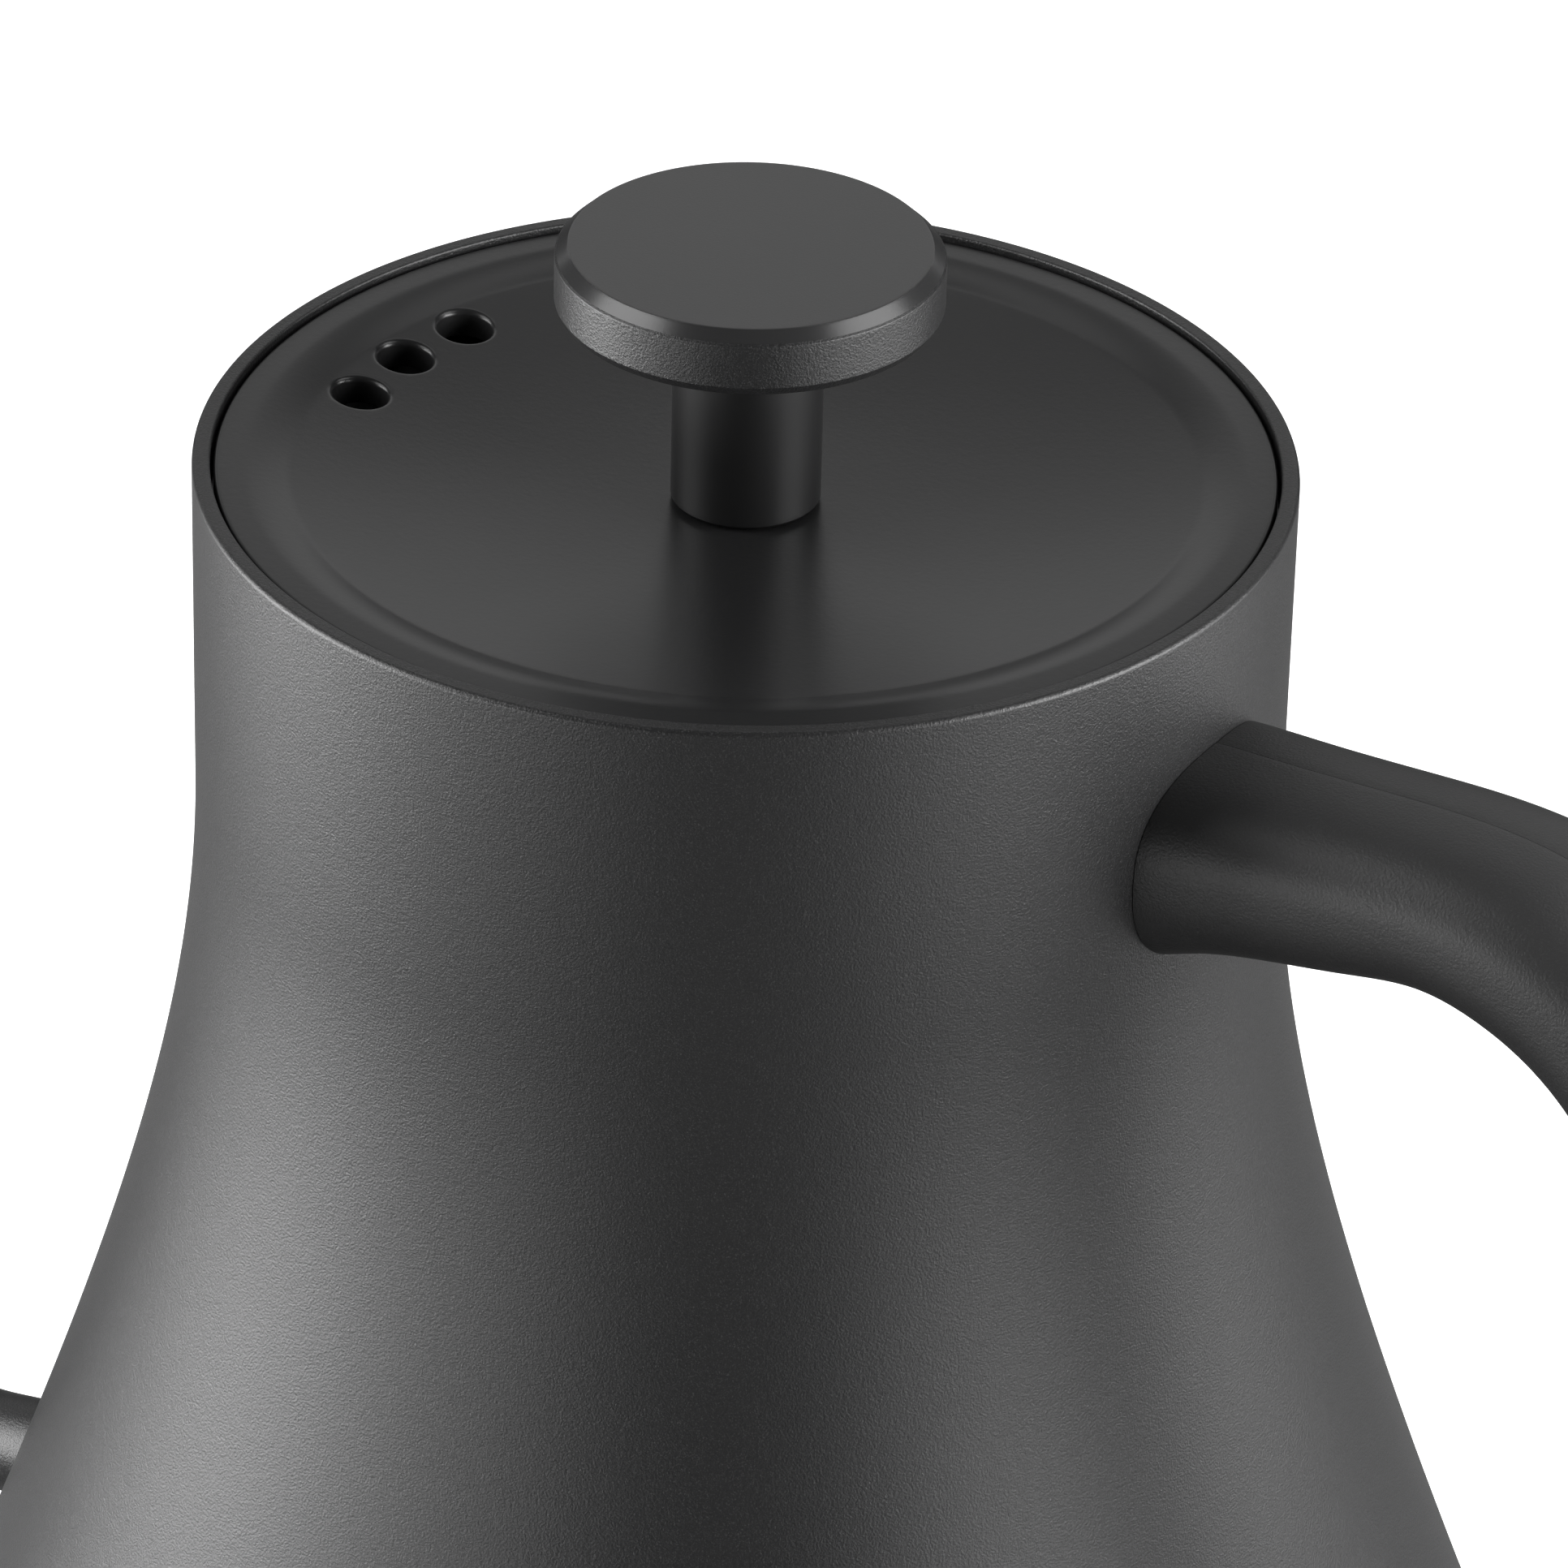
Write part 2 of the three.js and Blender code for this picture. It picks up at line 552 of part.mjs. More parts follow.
function buildBase(base) {
  add(base, "base_cover", baseCover(), blackPlastic);
  const holes = bossPlaces.flatMap(([x, y]) => [
    rod(CLEAR_R, 0, 8, SMALL).translate(x, y, 0),
    rod(HEAD_HOLE_R, 0, 3.6, SMALL).translate(x, y, 0),
  ]);
  const inset = BASE_WALL + GAP + 0.1;
  add(base, "base_plate", cut(slab([inset, BASE_FLOOR], [inset, 4.4]), ...holes), blackPlastic);
  bossPlaces.forEach(([x, y], i) => {
    add(base, `base_screw_${i + 1}`, screw(2.9, 1, 1.4, 10), stainless, x, y, 2.3);
  });
  footPlaces.forEach(([x, y], i) => {
    const pad = turned([
      [0, 0], [FOOT_R - 0.6, 0], [FOOT_R, 0.6], [FOOT_R, BASE_FLOOR - GAP], [0, BASE_FLOOR - GAP],
    ], 24);
    add(base, `base_foot_${i + 1}`, pad, rubber, x, y);
  });
  const gland = turned([
    [CORD_HOLE, -5], [CORD_HOLE + 2.9, -5], [CORD_HOLE + 2.9, -3.4], [CORD_HOLE + 2, -3.4],
    [CORD_HOLE + 2, 1], [CORD_HOLE + 1.4, 2], [CORD_HOLE, 2],
  ], 20).rotateX(-Math.PI / 2);
  add(base, "cord_gland", gland, rubber, 0, DECK_R, CORD_Z);
}

function buildBaseConnector(base) {
  const under = BASE_TOP - BASE_WALL - GAP;
  const boss = turned([
    [0, 12], [22, 12], [22, under], [BOSS_R, under], [BOSS_R, BOSS_TOP - 0.8],
    [BOSS_R - 0.8, BOSS_TOP], [0, BOSS_TOP],
  ], FINE);
  const slots = GROOVES.map(([r0, r1]) => ring(r0, r1, 22, 40, FINE));
  add(base, "base_connector", cut(boss, rod(2.8, 22, 40, 20), ...slots), blackPlastic);
  add(base, "earth_contact", ring(2.1, 2.5, 22.3, 26.6, SMALL), brass);
  GROOVES.forEach(([r0, r1], i) => {
    const name = ["live_contact", "neutral_contact"][i];
    add(base, name, block(r1 - r0 - 0.7, 3.4, 2.6), brass, (r0 + r1) / 2 - 0.05, 0, 23.7);
  });
}

function buildElectronics(base) {
  const board = block(84, 34, 1.6).translate(66, 0, BOARD_TOP - 0.8);
  const ways = bossPlaces.map(([x, y]) => rod(4.2, 0, 20, SMALL).translate(x, y, 0));
  add(base, "control_board", cut(board, ...ways), boardGreen);
  const up = BOARD_TOP + GAP;
  add(base, "relay", block(15.5, 19, 10.5), blackPlastic, 34, -4, up + 5.25);
  add(base, "power_supply", block(18, 16, 9.5), boardGreen, 53, 2, up + 4.75);
  add(base, "encoder_body", cut(
    join(block(12.4, 12.4, 5.6).translate(0, 0, 2.8), rod(3.3, 4, 10.5, 20)),
    rod(2.1, 2.2, 12, 20),
  ), zinc, DIAL_X, 0, up);
  add(base, "display_module", onFront(block(DISPLAY[0] + 6, 3, DISPLAY[1] + 2.6), 4.6), boardGreen);
  const pane = onFront(block(DISPLAY[0] + 3.4, 0.45, DISPLAY[1] + 2.4), 0.25);
  add(base, "display_window", pane, smokedGlass);
}

// The dial turns on a plunger that a press pushes down.
function buildDial(base) {
  const dial = subGroup(base, DIAL_X, 0, 0);
  add(dial, "dial_plunger", turned([
    [0, 11.6], [1.7, 11.6], [1.7, 27], [0, 27],
  ], 16), zinc);
  add(dial, "dial_knob", turned([
    [0, 27.4], [2.1, 27.4], [2.1, 23.4], [4.2, 23.4], [4.2, 26], [DIAL_R - 1.6, 26],
    [DIAL_R - 1.6, 23.2], [DIAL_R, 23.2], [DIAL_R, DIAL_TOP - 1], [DIAL_R - 1, DIAL_TOP], [0, DIAL_TOP],
  ], 28), blackPlastic);
}

// ---- assembly ----
const kettle = new THREE.Group();

const base = subGroup(kettle);
buildBase(base);
buildBaseConnector(base);
buildElectronics(base);
buildDial(base);
add(base, "swivel_collar", ring(BOSS_R + 0.6, 19.4, BASE_TOP + GAP, BASE_TOP + 2.2, FINE), satinBlack);

const jug = subGroup(kettle, 0, 0, JUG_Z);
add(jug, "kettle_body", kettleBody(), powderCoat);
add(jug, "spout", spout(), powderCoat);
buildHeater(jug);
buildJugConnector(jug);
buildBottomCover(jug);

const rim = subGroup(jug, 0, 0, BODY_H);
add(rim, "lid_seat", ring(44.7, NECK_R - WALL - GAP, -5.2, -3.5), stainless);
buildHandle(rim);
buildLid(rim);

export default kettle;
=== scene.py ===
"""A matte black gooseneck kettle on its power base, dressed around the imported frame.

Sizes are in metres. The origin is on the table, under the jug's axis: the handle points to +X, the
spout to -X, and the base's display faces -Y.
"""
import json
import logging
from collections.abc import Callable, Sequence
from dataclasses import dataclass
from enum import Enum

import bmesh
import bpy
import numpy as np
from mathutils import Matrix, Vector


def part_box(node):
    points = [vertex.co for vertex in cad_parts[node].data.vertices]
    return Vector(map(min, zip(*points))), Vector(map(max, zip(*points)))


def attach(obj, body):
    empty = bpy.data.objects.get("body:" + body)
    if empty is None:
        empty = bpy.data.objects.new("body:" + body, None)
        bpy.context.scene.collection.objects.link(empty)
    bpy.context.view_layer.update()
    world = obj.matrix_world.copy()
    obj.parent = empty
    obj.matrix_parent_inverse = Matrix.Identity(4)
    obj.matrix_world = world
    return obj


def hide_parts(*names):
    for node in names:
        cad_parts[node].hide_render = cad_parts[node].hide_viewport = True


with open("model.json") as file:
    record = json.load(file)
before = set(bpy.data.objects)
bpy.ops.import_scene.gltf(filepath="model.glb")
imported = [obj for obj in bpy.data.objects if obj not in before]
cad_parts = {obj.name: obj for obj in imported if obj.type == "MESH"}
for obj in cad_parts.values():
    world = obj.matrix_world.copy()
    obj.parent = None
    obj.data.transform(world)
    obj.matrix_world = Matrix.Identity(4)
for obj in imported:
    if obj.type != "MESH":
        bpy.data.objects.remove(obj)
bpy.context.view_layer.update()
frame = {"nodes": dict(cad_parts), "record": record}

Array = np.ndarray
MM = 0.001
log = logging.getLogger("kettle")


class Body(Enum):
    """The moving bodies that a piece can ride on."""

    BASE = "base"
    COLLAR = "collar"
    JUG = "jug"
    LID = "lid"
    PLUNGER = "plunger"
    DIAL = "dial"


class Slot(Enum):
    """The record's material slots."""

    POWDER_COAT = "powder_coat"
    SATIN_BLACK = "satin_black"
    GRIP_PLASTIC = "grip_plastic"
    BLACK_PLASTIC = "black_plastic"
    SLIP_RING = "slip_ring"
    STAINLESS = "stainless"
    ALUMINIUM = "aluminium"
    ZINC = "zinc"
    BRASS = "brass"
    SILICONE = "silicone"
    RUBBER = "rubber"
    CIRCUIT_BOARD = "circuit_board"
    SMOKED_WINDOW = "smoked_window"


# ---- finishes ----
class NodeSheet:
    """A material's or a group's node tree, with short ways to add and link nodes."""

    def __init__(self, tree: bpy.types.NodeTree) -> None:
        """Wraps a tree.

        Args:
            tree: the node tree to build in.
        """
        self.tree = tree

    def add(self, kind: str, **settings: object) -> bpy.types.Node:
        """Adds a node.

        Args:
            kind: the node's type name, without the ShaderNode in front of it.
            settings: attributes of the node, or values for inputs where it has none of that name.

        Returns:
            The new node.
        """
        node = self.tree.nodes.new(kind if kind.startswith("Node") else "ShaderNode" + kind)
        for name, value in settings.items():
            if hasattr(node, name):
                setattr(node, name, value)
            else:
                node.inputs[name.replace("_", " ")].default_value = value
        return node

    def link(self, source: bpy.types.NodeSocket, target: bpy.types.NodeSocket) -> None:
        """Links an output to an input."""
        self.tree.links.new(source, target)

    def math(self, operation: str, a: object, b: object) -> bpy.types.NodeSocket:
        """Adds a math node.

        Args:
            operation: the node's operation, such as MULTIPLY.
            a: a socket or a number.
            b: a socket or a number.

        Returns:
            The node's output socket.
        """
        node = self.add("Math", operation=operation)
        for socket, value in zip(node.inputs, (a, b)):
            if isinstance(value, bpy.types.NodeSocket):
                self.link(value, socket)
            else:
                socket.default_value = value
        return node.outputs[0]


def shade_by_ray(sheet: NodeSheet, others: bpy.types.Node, camera: bpy.types.Node,
                 end: bpy.types.NodeSocket) -> None:
    """Shows the camera one shader, and every other ray another.

    Args:
        sheet: the tree to build in.
        others: the shader that all other rays meet.
        camera: the shader that the camera sees.
        end: the output that takes the result.
    """
    mix = sheet.add("MixShader")
    sheet.link(sheet.add("LightPath").outputs["Is Camera Ray"], mix.inputs[0])
    sheet.link(others.outputs[0], mix.inputs[1])
    sheet.link(camera.outputs[0], mix.inputs[2])
    sheet.link(mix.outputs[0], end)


def effect_group(
    name: str,
    inputs: Sequence[tuple[str, str, object]],
    outputs: Sequence[str],
    build: Callable[[NodeSheet, bpy.types.Node, bpy.types.Node], None],
) -> bpy.types.NodeTree:
    """Makes a shader node group once.

    Args:
        name: the group's name.
        inputs: each input's name, socket type and default.
        outputs: the names of the float outputs.
        build: fills the group, given its sheet, its input node and its output node.

    Returns:
        The group, made new or found.
    """
    group = bpy.data.node_groups.get(name)
    if group:
        return group
    group = bpy.data.node_groups.new(name, "ShaderNodeTree")
    for label, kind, default in inputs:
        socket = group.interface.new_socket(name=label, in_out="INPUT", socket_type=kind)
        if default is not None:
            socket.default_value = default
    for label in outputs:
        group.interface.new_socket(name=label, in_out="OUTPUT", socket_type="NodeSocketFloat")
    sheet = NodeSheet(group)
    build(sheet, sheet.add("NodeGroupInput"), sheet.add("NodeGroupOutput"))
    return group


def grain_group() -> bpy.types.NodeTree:
    """A coating's grain: two sizes of noise as a height, and the tops of a finer one as flecks."""

    def build(sheet: NodeSheet, start: bpy.types.Node, end: bpy.types.Node) -> None:
        """Adds the coarse swell, the fine grit and the flecks."""
        stretch = sheet.add("VectorMath", operation="MULTIPLY")
        sheet.link(start.outputs["Position"], stretch.inputs[0])
        sheet.link(start.outputs["Stretch"], stretch.inputs[1])
        rate = sheet.math("DIVIDE", 1.0, start.outputs["Size"])
        heights = []
        for factor, detail in ((0.45, 2.0), (1.0, 3.0)):
            noise = sheet.add("TexNoise", Detail=detail, Roughness=0.6)
            sheet.link(stretch.outputs[0], noise.inputs["Vector"])
            sheet.link(sheet.math("MULTIPLY", rate, factor), noise.inputs["Scale"])
            heights.append(noise.outputs["Fac"])
        swell = sheet.math("MULTIPLY", heights[0], 0.3)
        sheet.link(sheet.math("ADD", swell, heights[1]), end.inputs["Height"])
        flecks = sheet.add("TexNoise", Detail=1.0, Roughness=0.5)
        sheet.link(stretch.outputs[0], flecks.inputs["Vector"])
        sheet.link(sheet.math("MULTIPLY", rate, 1.7), flecks.inputs["Scale"])
        ramp = sheet.add("MapRange", interpolation_type="SMOOTHSTEP")
        ramp.inputs["From Min"].default_value = 0.56
        ramp.inputs["From Max"].default_value = 0.74
        sheet.link(flecks.outputs["Fac"], ramp.inputs["Value"])
        sheet.link(ramp.outputs["Result"], end.inputs["Flecks"])

    return effect_group(
        "coating grain",
        [("Position", "NodeSocketVector", None), ("Stretch", "NodeSocketVector", (1.0, 1.0, 1.0)),
         ("Size", "NodeSocketFloat", 0.0004)],
        ["Height", "Flecks"], build)


def handling_group() -> bpy.types.NodeTree:
    """Signs of handling: a slow drift of gloss in broad faint smears, and a fine settled dust."""

    def build(sheet: NodeSheet, start: bpy.types.Node, end: bpy.types.Node) -> None:
        """Adds the drift and the dust, which lies on faces that look up."""
        drift = sheet.add("TexNoise", Scale=22.0, Detail=4.0, Roughness=0.6, Distortion=0.8)
        sheet.link(start.outputs["Position"], drift.inputs["Vector"])
        sheet.link(sheet.math("SUBTRACT", drift.outputs["Fac"], 0.5), end.inputs["Drift"])
        geometry = sheet.add("NewGeometry")
        split = sheet.add("SeparateXYZ")
        sheet.link(geometry.outputs["Normal"], split.inputs[0])
        specks = sheet.add("TexNoise", Scale=900.0, Detail=2.0, Roughness=0.7)
        sheet.link(start.outputs["Position"], specks.inputs["Vector"])
        ramp = sheet.add("MapRange", interpolation_type="SMOOTHSTEP")
        ramp.inputs["From Min"].default_value = 0.62
        ramp.inputs["From Max"].default_value = 0.8
        sheet.link(specks.outputs["Fac"], ramp.inputs["Value"])
        facing = sheet.math("MAXIMUM", split.outputs["Z"], 0.0)
        sheet.link(sheet.math("MULTIPLY", ramp.outputs["Result"], facing), end.inputs["Dust"])

    return effect_group("handling", [("Position", "NodeSocketVector", None)],
                        ["Drift", "Dust"], build)


COAT_ROUGHNESS = 0.08
DUST_COLOUR = (0.5, 0.49, 0.47)


@dataclass(frozen=True)
class Finish:
    """A finish: a colour and a gloss, and the grain, flecks, drift and dust that vary them."""

    name: str
    colour: tuple[float, float, float]
    roughness: float
    metallic: float = 0.0
    specular: float = 0.5
    grain: float = 0.0004  # size of the grain, metres
    depth: float = 0.0  # height of the grain, metres
    flecks: float = 0.0  # how much lighter the grain's tops are
    drift: float = 0.08  # how far the roughness wanders
    dust: float = 0.0
    stretch: tuple[float, float, float] = (1.0, 1.0, 1.0)  # squeezes the grain into lines
    coat: float = 0.0

    def material(self) -> bpy.types.Material:
        """Makes the finish's material, or finds it.

        Returns:
            A Principled material whose colour, roughness and normal vary over the surface.
        """
        made = bpy.data.materials.get(self.name)
        if made:
            return made
        made = bpy.data.materials.new(self.name)
        made.use_nodes = True
        sheet = NodeSheet(made.node_tree)
        shader = made.node_tree.nodes["Principled BSDF"]
        shader.inputs["Metallic"].default_value = self.metallic
        shader.inputs["Specular IOR Level"].default_value = self.specular
        shader.inputs["Coat Weight"].default_value = self.coat
        shader.inputs["Coat Roughness"].default_value = COAT_ROUGHNESS
        place = sheet.add("TexCoord").outputs["Object"]
        grain = sheet.add("Group", node_tree=grain_group())
        grain.inputs["Stretch"].default_value = self.stretch
        grain.inputs["Size"].default_value = self.grain
        handling = sheet.add("Group", node_tree=handling_group())
        sheet.link(place, grain.inputs["Position"])
        sheet.link(place, handling.inputs["Position"])
        lighter = sheet.add("Mix", data_type="RGBA", clamp_factor=True)
        lighter.inputs[6].default_value = (*self.colour, 1.0)
        tops = (c + (1.0 - c) * self.flecks for c in self.colour)
        lighter.inputs[7].default_value = (*tops, 1.0)
        sheet.link(grain.outputs["Flecks"], lighter.inputs[0])
        dusty = sheet.add("Mix", data_type="RGBA", clamp_factor=True)
        dusty.inputs[7].default_value = (*DUST_COLOUR, 1.0)
        sheet.link(lighter.outputs[2], dusty.inputs[6])
        sheet.link(sheet.math("MULTIPLY", handling.outputs["Dust"], self.dust), dusty.inputs[0])
        sheet.link(dusty.outputs[2], shader.inputs["Base Color"])
        wander = sheet.math("MULTIPLY", handling.outputs["Drift"], self.drift)
        sheet.link(sheet.math("ADD", wander, self.roughness), shader.inputs["Roughness"])
        if self.depth > 0.0:
            bump = sheet.add("Bump", Strength=1.0, Distance=self.depth)
            sheet.link(grain.outputs["Height"], bump.inputs["Height"])
            sheet.link(bump.outputs["Normal"], shader.inputs["Normal"])
        return made


POWDER = Finish("powder coat", (0.011, 0.011, 0.0113), 0.34, specular=0.4, grain=0.00021,
                depth=0.00006, flecks=0.025, drift=0.04)
STEM = Finish("satin stem", (0.009, 0.009, 0.0092), 0.36, specular=0.4, grain=0.0003,
              depth=0.000006, drift=0.04)
SATIN = Finish("satin lid", (0.011, 0.011, 0.0113), 0.3, specular=0.36, grain=0.0006,
               depth=0.00001, drift=0.05, dust=0.01)
KNOB_TOP = Finish("satin knob", (0.014, 0.014, 0.0143), 0.36, specular=0.74, grain=0.0002,
                  depth=0.000008, flecks=0.004, drift=0.04)
POLISHED = Finish("burnished edge", (0.02, 0.02, 0.0203), 0.23, specular=0.6, grain=0.0005,
                  depth=0.000004, drift=0.1)
GRIP = Finish("grip", (0.018, 0.018, 0.0182), 0.46, specular=0.4, grain=0.00026,
              depth=0.00006, flecks=0.01, drift=0.05)
MOULDED = Finish("moulded black", (0.013, 0.013, 0.0135), 0.5, specular=0.45, grain=0.0007,
                 depth=0.00003, drift=0.08, dust=0.02)
GLIDE = Finish("glide ring", (0.03, 0.03, 0.03), 0.34, grain=0.0009, depth=0.000005)
STEEL = Finish("brushed steel", (0.56, 0.56, 0.57), 0.26, metallic=1.0, grain=0.0012,
               depth=0.000012, drift=0.12, stretch=(1.0, 1.0, 9.0))
ALLOY = Finish("rolled aluminium", (0.72, 0.73, 0.74), 0.38, metallic=1.0, grain=0.002,
               depth=0.00001, drift=0.1, stretch=(1.0, 12.0, 1.0))
CAST = Finish("die-cast zinc", (0.36, 0.37, 0.38), 0.55, metallic=1.0, grain=0.001, depth=0.00003)
CONTACT = Finish("contact brass", (0.68, 0.47, 0.2), 0.28, metallic=1.0, grain=0.0008,
                 depth=0.000006, drift=0.15)
SEAL = Finish("silicone", (0.06, 0.06, 0.062), 0.62, specular=0.4, grain=0.0009, depth=0.00001,
              dust=0.05)
FOOT = Finish("rubber", (0.014, 0.014, 0.014), 0.8, specular=0.3, grain=0.0006, depth=0.00003,
              dust=0.08)
BOARD = Finish("solder mask", (0.01, 0.09, 0.04), 0.4, grain=0.003, depth=0.00002, flecks=0.1)
WINDOW = Finish("smoked window", (0.004, 0.0045, 0.005), 0.08, specular=0.5, grain=0.01, drift=0.03,
                coat=0.6)

SLOT_FINISH = {
    Slot.POWDER_COAT: POWDER, Slot.SATIN_BLACK: SATIN, Slot.GRIP_PLASTIC: GRIP,
    Slot.BLACK_PLASTIC: MOULDED, Slot.SLIP_RING: GLIDE, Slot.STAINLESS: STEEL,
    Slot.ALUMINIUM: ALLOY, Slot.ZINC: CAST, Slot.BRASS: CONTACT, Slot.SILICONE: SEAL,
    Slot.RUBBER: FOOT,
    Slot.CIRCUIT_BOARD: BOARD, Slot.SMOKED_WINDOW: WINDOW,
}


# ---- surfaces ----
class Form:
    """Grids of points that are joined into one closed mesh."""

    def __init__(self) -> None:
        """Starts with no surface."""
        self.points: list[Array] = []
        self.faces: list[Array] = []
        self.finish_of: list[Array] = []
        self.count = 0

    def grid(self, points: Array, around: bool = False, finish: int = 0,
             keep: Array | None = None) -> "Form":
        """Adds a surface of quads between neighbouring points of a grid.

        Args:
            points: an array (rows, columns, 3).
            around: whether the last row joins on to the first.
            finish: which of the piece's finishes the surface has.
            keep: an array (rows, columns) of which quads to make, or all of them.

        Returns:
            The form itself.
        """
        rows, columns = points.shape[:2]
        index = np.arange(rows * columns).reshape(rows, columns) + self.count
        ahead = np.roll(index, -1, axis=0)
        if not around:
            index, ahead = index[:-1], ahead[:-1]
        quads = np.stack([index[:, :-1], index[:, 1:], ahead[:, 1:], ahead[:, :-1]], axis=-1)
        if keep is None:
            quads = quads.reshape(-1, 4)
        else:
            quads = quads[keep[:quads.shape[0], :quads.shape[1]]]
        self.points.append(points.reshape(-1, 3))
        self.faces.append(quads)
        self.finish_of.append(np.full(len(quads), finish))
        self.count += rows * columns
        return self

    def fan(self, ring: Array, finish: int = 0) -> "Form":
        """Closes a ring with triangles to its middle: a grid whose last column is one point."""
        middle = np.broadcast_to(ring.mean(axis=0), ring.shape)
        return self.grid(np.stack([ring, middle], axis=1), around=True, finish=finish)

    def piece(self, name: str, sharp: float = 34.0) -> bpy.types.Object:
        """Makes the object, merging points that coincide and turning its faces outwards.

        Args:
            name: the piece's name.
            sharp: the angle in degrees past which an edge is not shaded smooth.

        Returns:
            The new object, linked to the scene.
        """
        mesh = bpy.data.meshes.new(name)
        mesh.from_pydata(np.concatenate(self.points), [], np.concatenate(self.faces).tolist())
        mesh.polygons.foreach_set("material_index", np.concatenate(self.finish_of))
        work = bmesh.new()
        work.from_mesh(mesh)
        bmesh.ops.remove_doubles(work, verts=work.verts, dist=1e-7)
        bmesh.ops.recalc_face_normals(work, faces=work.faces)
        if work.calc_volume(signed=True) < 0.0:
            bmesh.ops.reverse_faces(work, faces=work.faces)
        work.to_mesh(mesh)
        work.free()
        mesh.shade_smooth()
        mesh.set_sharp_from_angle(angle=np.radians(sharp))
        made = bpy.data.objects.new(name, mesh)
        bpy.context.scene.collection.objects.link(made)
        return made


def unit(vectors: Array) -> Array:
    """Vectors along an array's last axis, each brought to length 1."""
    return vectors / np.maximum(np.linalg.norm(vectors, axis=-1, keepdims=True), 1e-12)


def filleted(corners: Sequence[tuple[float, float, float]], closed: bool = True, steps: int = 5,
             support: float = 0.0004) -> Array:
    """Rounds the corners of an outline of straight lines.

    Each corner becomes an arc tangent to its two lines, with one more point a little way along each
    line to hold the shading of the flats.

    Args:
        corners: each corner's place across and up, and its radius.
        closed: whether the outline closes on itself; if not, its two ends stay as they are.
        steps: how many chords an arc has.
        support: how far past an arc's ends the extra points stand.

    Returns:
        The outline's points, (n, 2).
    """
    data = np.array(corners, dtype=float)
    place, radius = data[:, :2], np.maximum(data[:, 2:], 1e-9)
    back, forth = unit(np.roll(place, 1, axis=0) - place), unit(np.roll(place, -1, axis=0) - place)
    half = 0.5 * np.arccos(np.clip((back * forth).sum(axis=1, keepdims=True), -0.999999, 0.999999))
    reach = radius / np.tan(half)
    centre = place + unit(back + forth) * radius / np.sin(half)
    turn = np.pi - 2.0 * half
    share = np.linspace(0.0, 1.0, steps + 1)[:, None, None]
    start, end = place + back * reach - centre, place + forth * reach - centre
    arcs = centre + (np.sin((1 - share) * turn) * start + np.sin(share * turn) * end) / np.sin(turn)
    flat = reach + (data[:, 2:] > 0.0) * support
    rows = np.concatenate([[place + back * flat], arcs, [place + forth * flat]])
    outline = rows.transpose(1, 0, 2)
    if not closed:
        outline[0], outline[-1] = place[0], place[-1]
    return outline.reshape(-1, 2)


def spun(outline: Array, sides: int = 160, centre: tuple[float, float] = (0.0, 0.0)) -> Array:
    """Turns an outline of (radius, height) points about an upright axis.

    Args:
        outline: the points, (n, 2).
        sides: how many steps go round.
        centre: where the axis stands.

    Returns:
        A grid (sides, n, 3) that closes on itself.
    """
    angle = np.linspace(0.0, 2.0 * np.pi, sides, endpoint=False)[:, None]
    radius, height = outline[None, :, 0], outline[None, :, 1]
    return np.stack([centre[0] + radius * np.cos(angle), centre[1] + radius * np.sin(angle),
                     np.broadcast_to(height, (sides, outline.shape[0]))], axis=-1)


def closing(outline: Array) -> Array:
    """An outline with its first point again at its end, unless it runs from axis to axis."""
    on_axis = outline[0, 0] == 0.0 and outline[-1, 0] == 0.0
    return outline if on_axis else np.vstack([outline, outline[:1]])


def turned_piece(name: str, corners: Sequence[tuple[float, float, float]], sides: int = 160,
                 centre: tuple[float, float] = (0.0, 0.0), steps: int = 5) -> bpy.types.Object:
    """A turned piece from the corners of its half section.

    Args:
        name: the piece's name.
        corners: radius, height and rounding of each corner, from axis to axis or all round.
        sides: how many steps go round.
        centre: where the axis stands.
        steps: how many chords a rounded corner has.

    Returns:
        The new object.
    """
    on_axis = corners[0][0] == 0.0 and corners[-1][0] == 0.0
    outline = closing(filleted(corners, closed=not on_axis, steps=steps))
    return Form().grid(spun(outline, sides, centre), around=True).piece(name)


def drill(radius: float, low: float, high: float, spot: tuple[float, float] = (0.0, 0.0),
          sides: int = 40) -> bpy.types.Object:
    """A plain upright cylinder to bore a piece with.

    Args:
        radius: the bore's radius.
        low: where it starts.
        high: where it ends.
        spot: where its axis stands.
        sides: how many steps go round.

    Returns:
        The cutter.
    """
    return turned_piece("drill", [(0, low, 0), (radius, low, 0), (radius, high, 0), (0, high, 0)],
                        sides, spot)


def screw_drill(low: float, shoulder: float, high: float,
                spot: tuple[float, float]) -> bpy.types.Object:
    """A stepped cutter for a screw that goes in from below.

    Args:
        low: where the wide part for the head starts.
        shoulder: where the head rests, and the narrow part starts.
        high: where the narrow part ends.
        spot: where its axis stands.

    Returns:
        The cutter.
    """
    head, shank = 0.0033, 0.0018
    return turned_piece("drill", [(0, low, 0), (head, low, 0), (head, shoulder, 0),
                                  (shank, shoulder, 0), (shank, high, 0), (0, high, 0)], 40, spot)


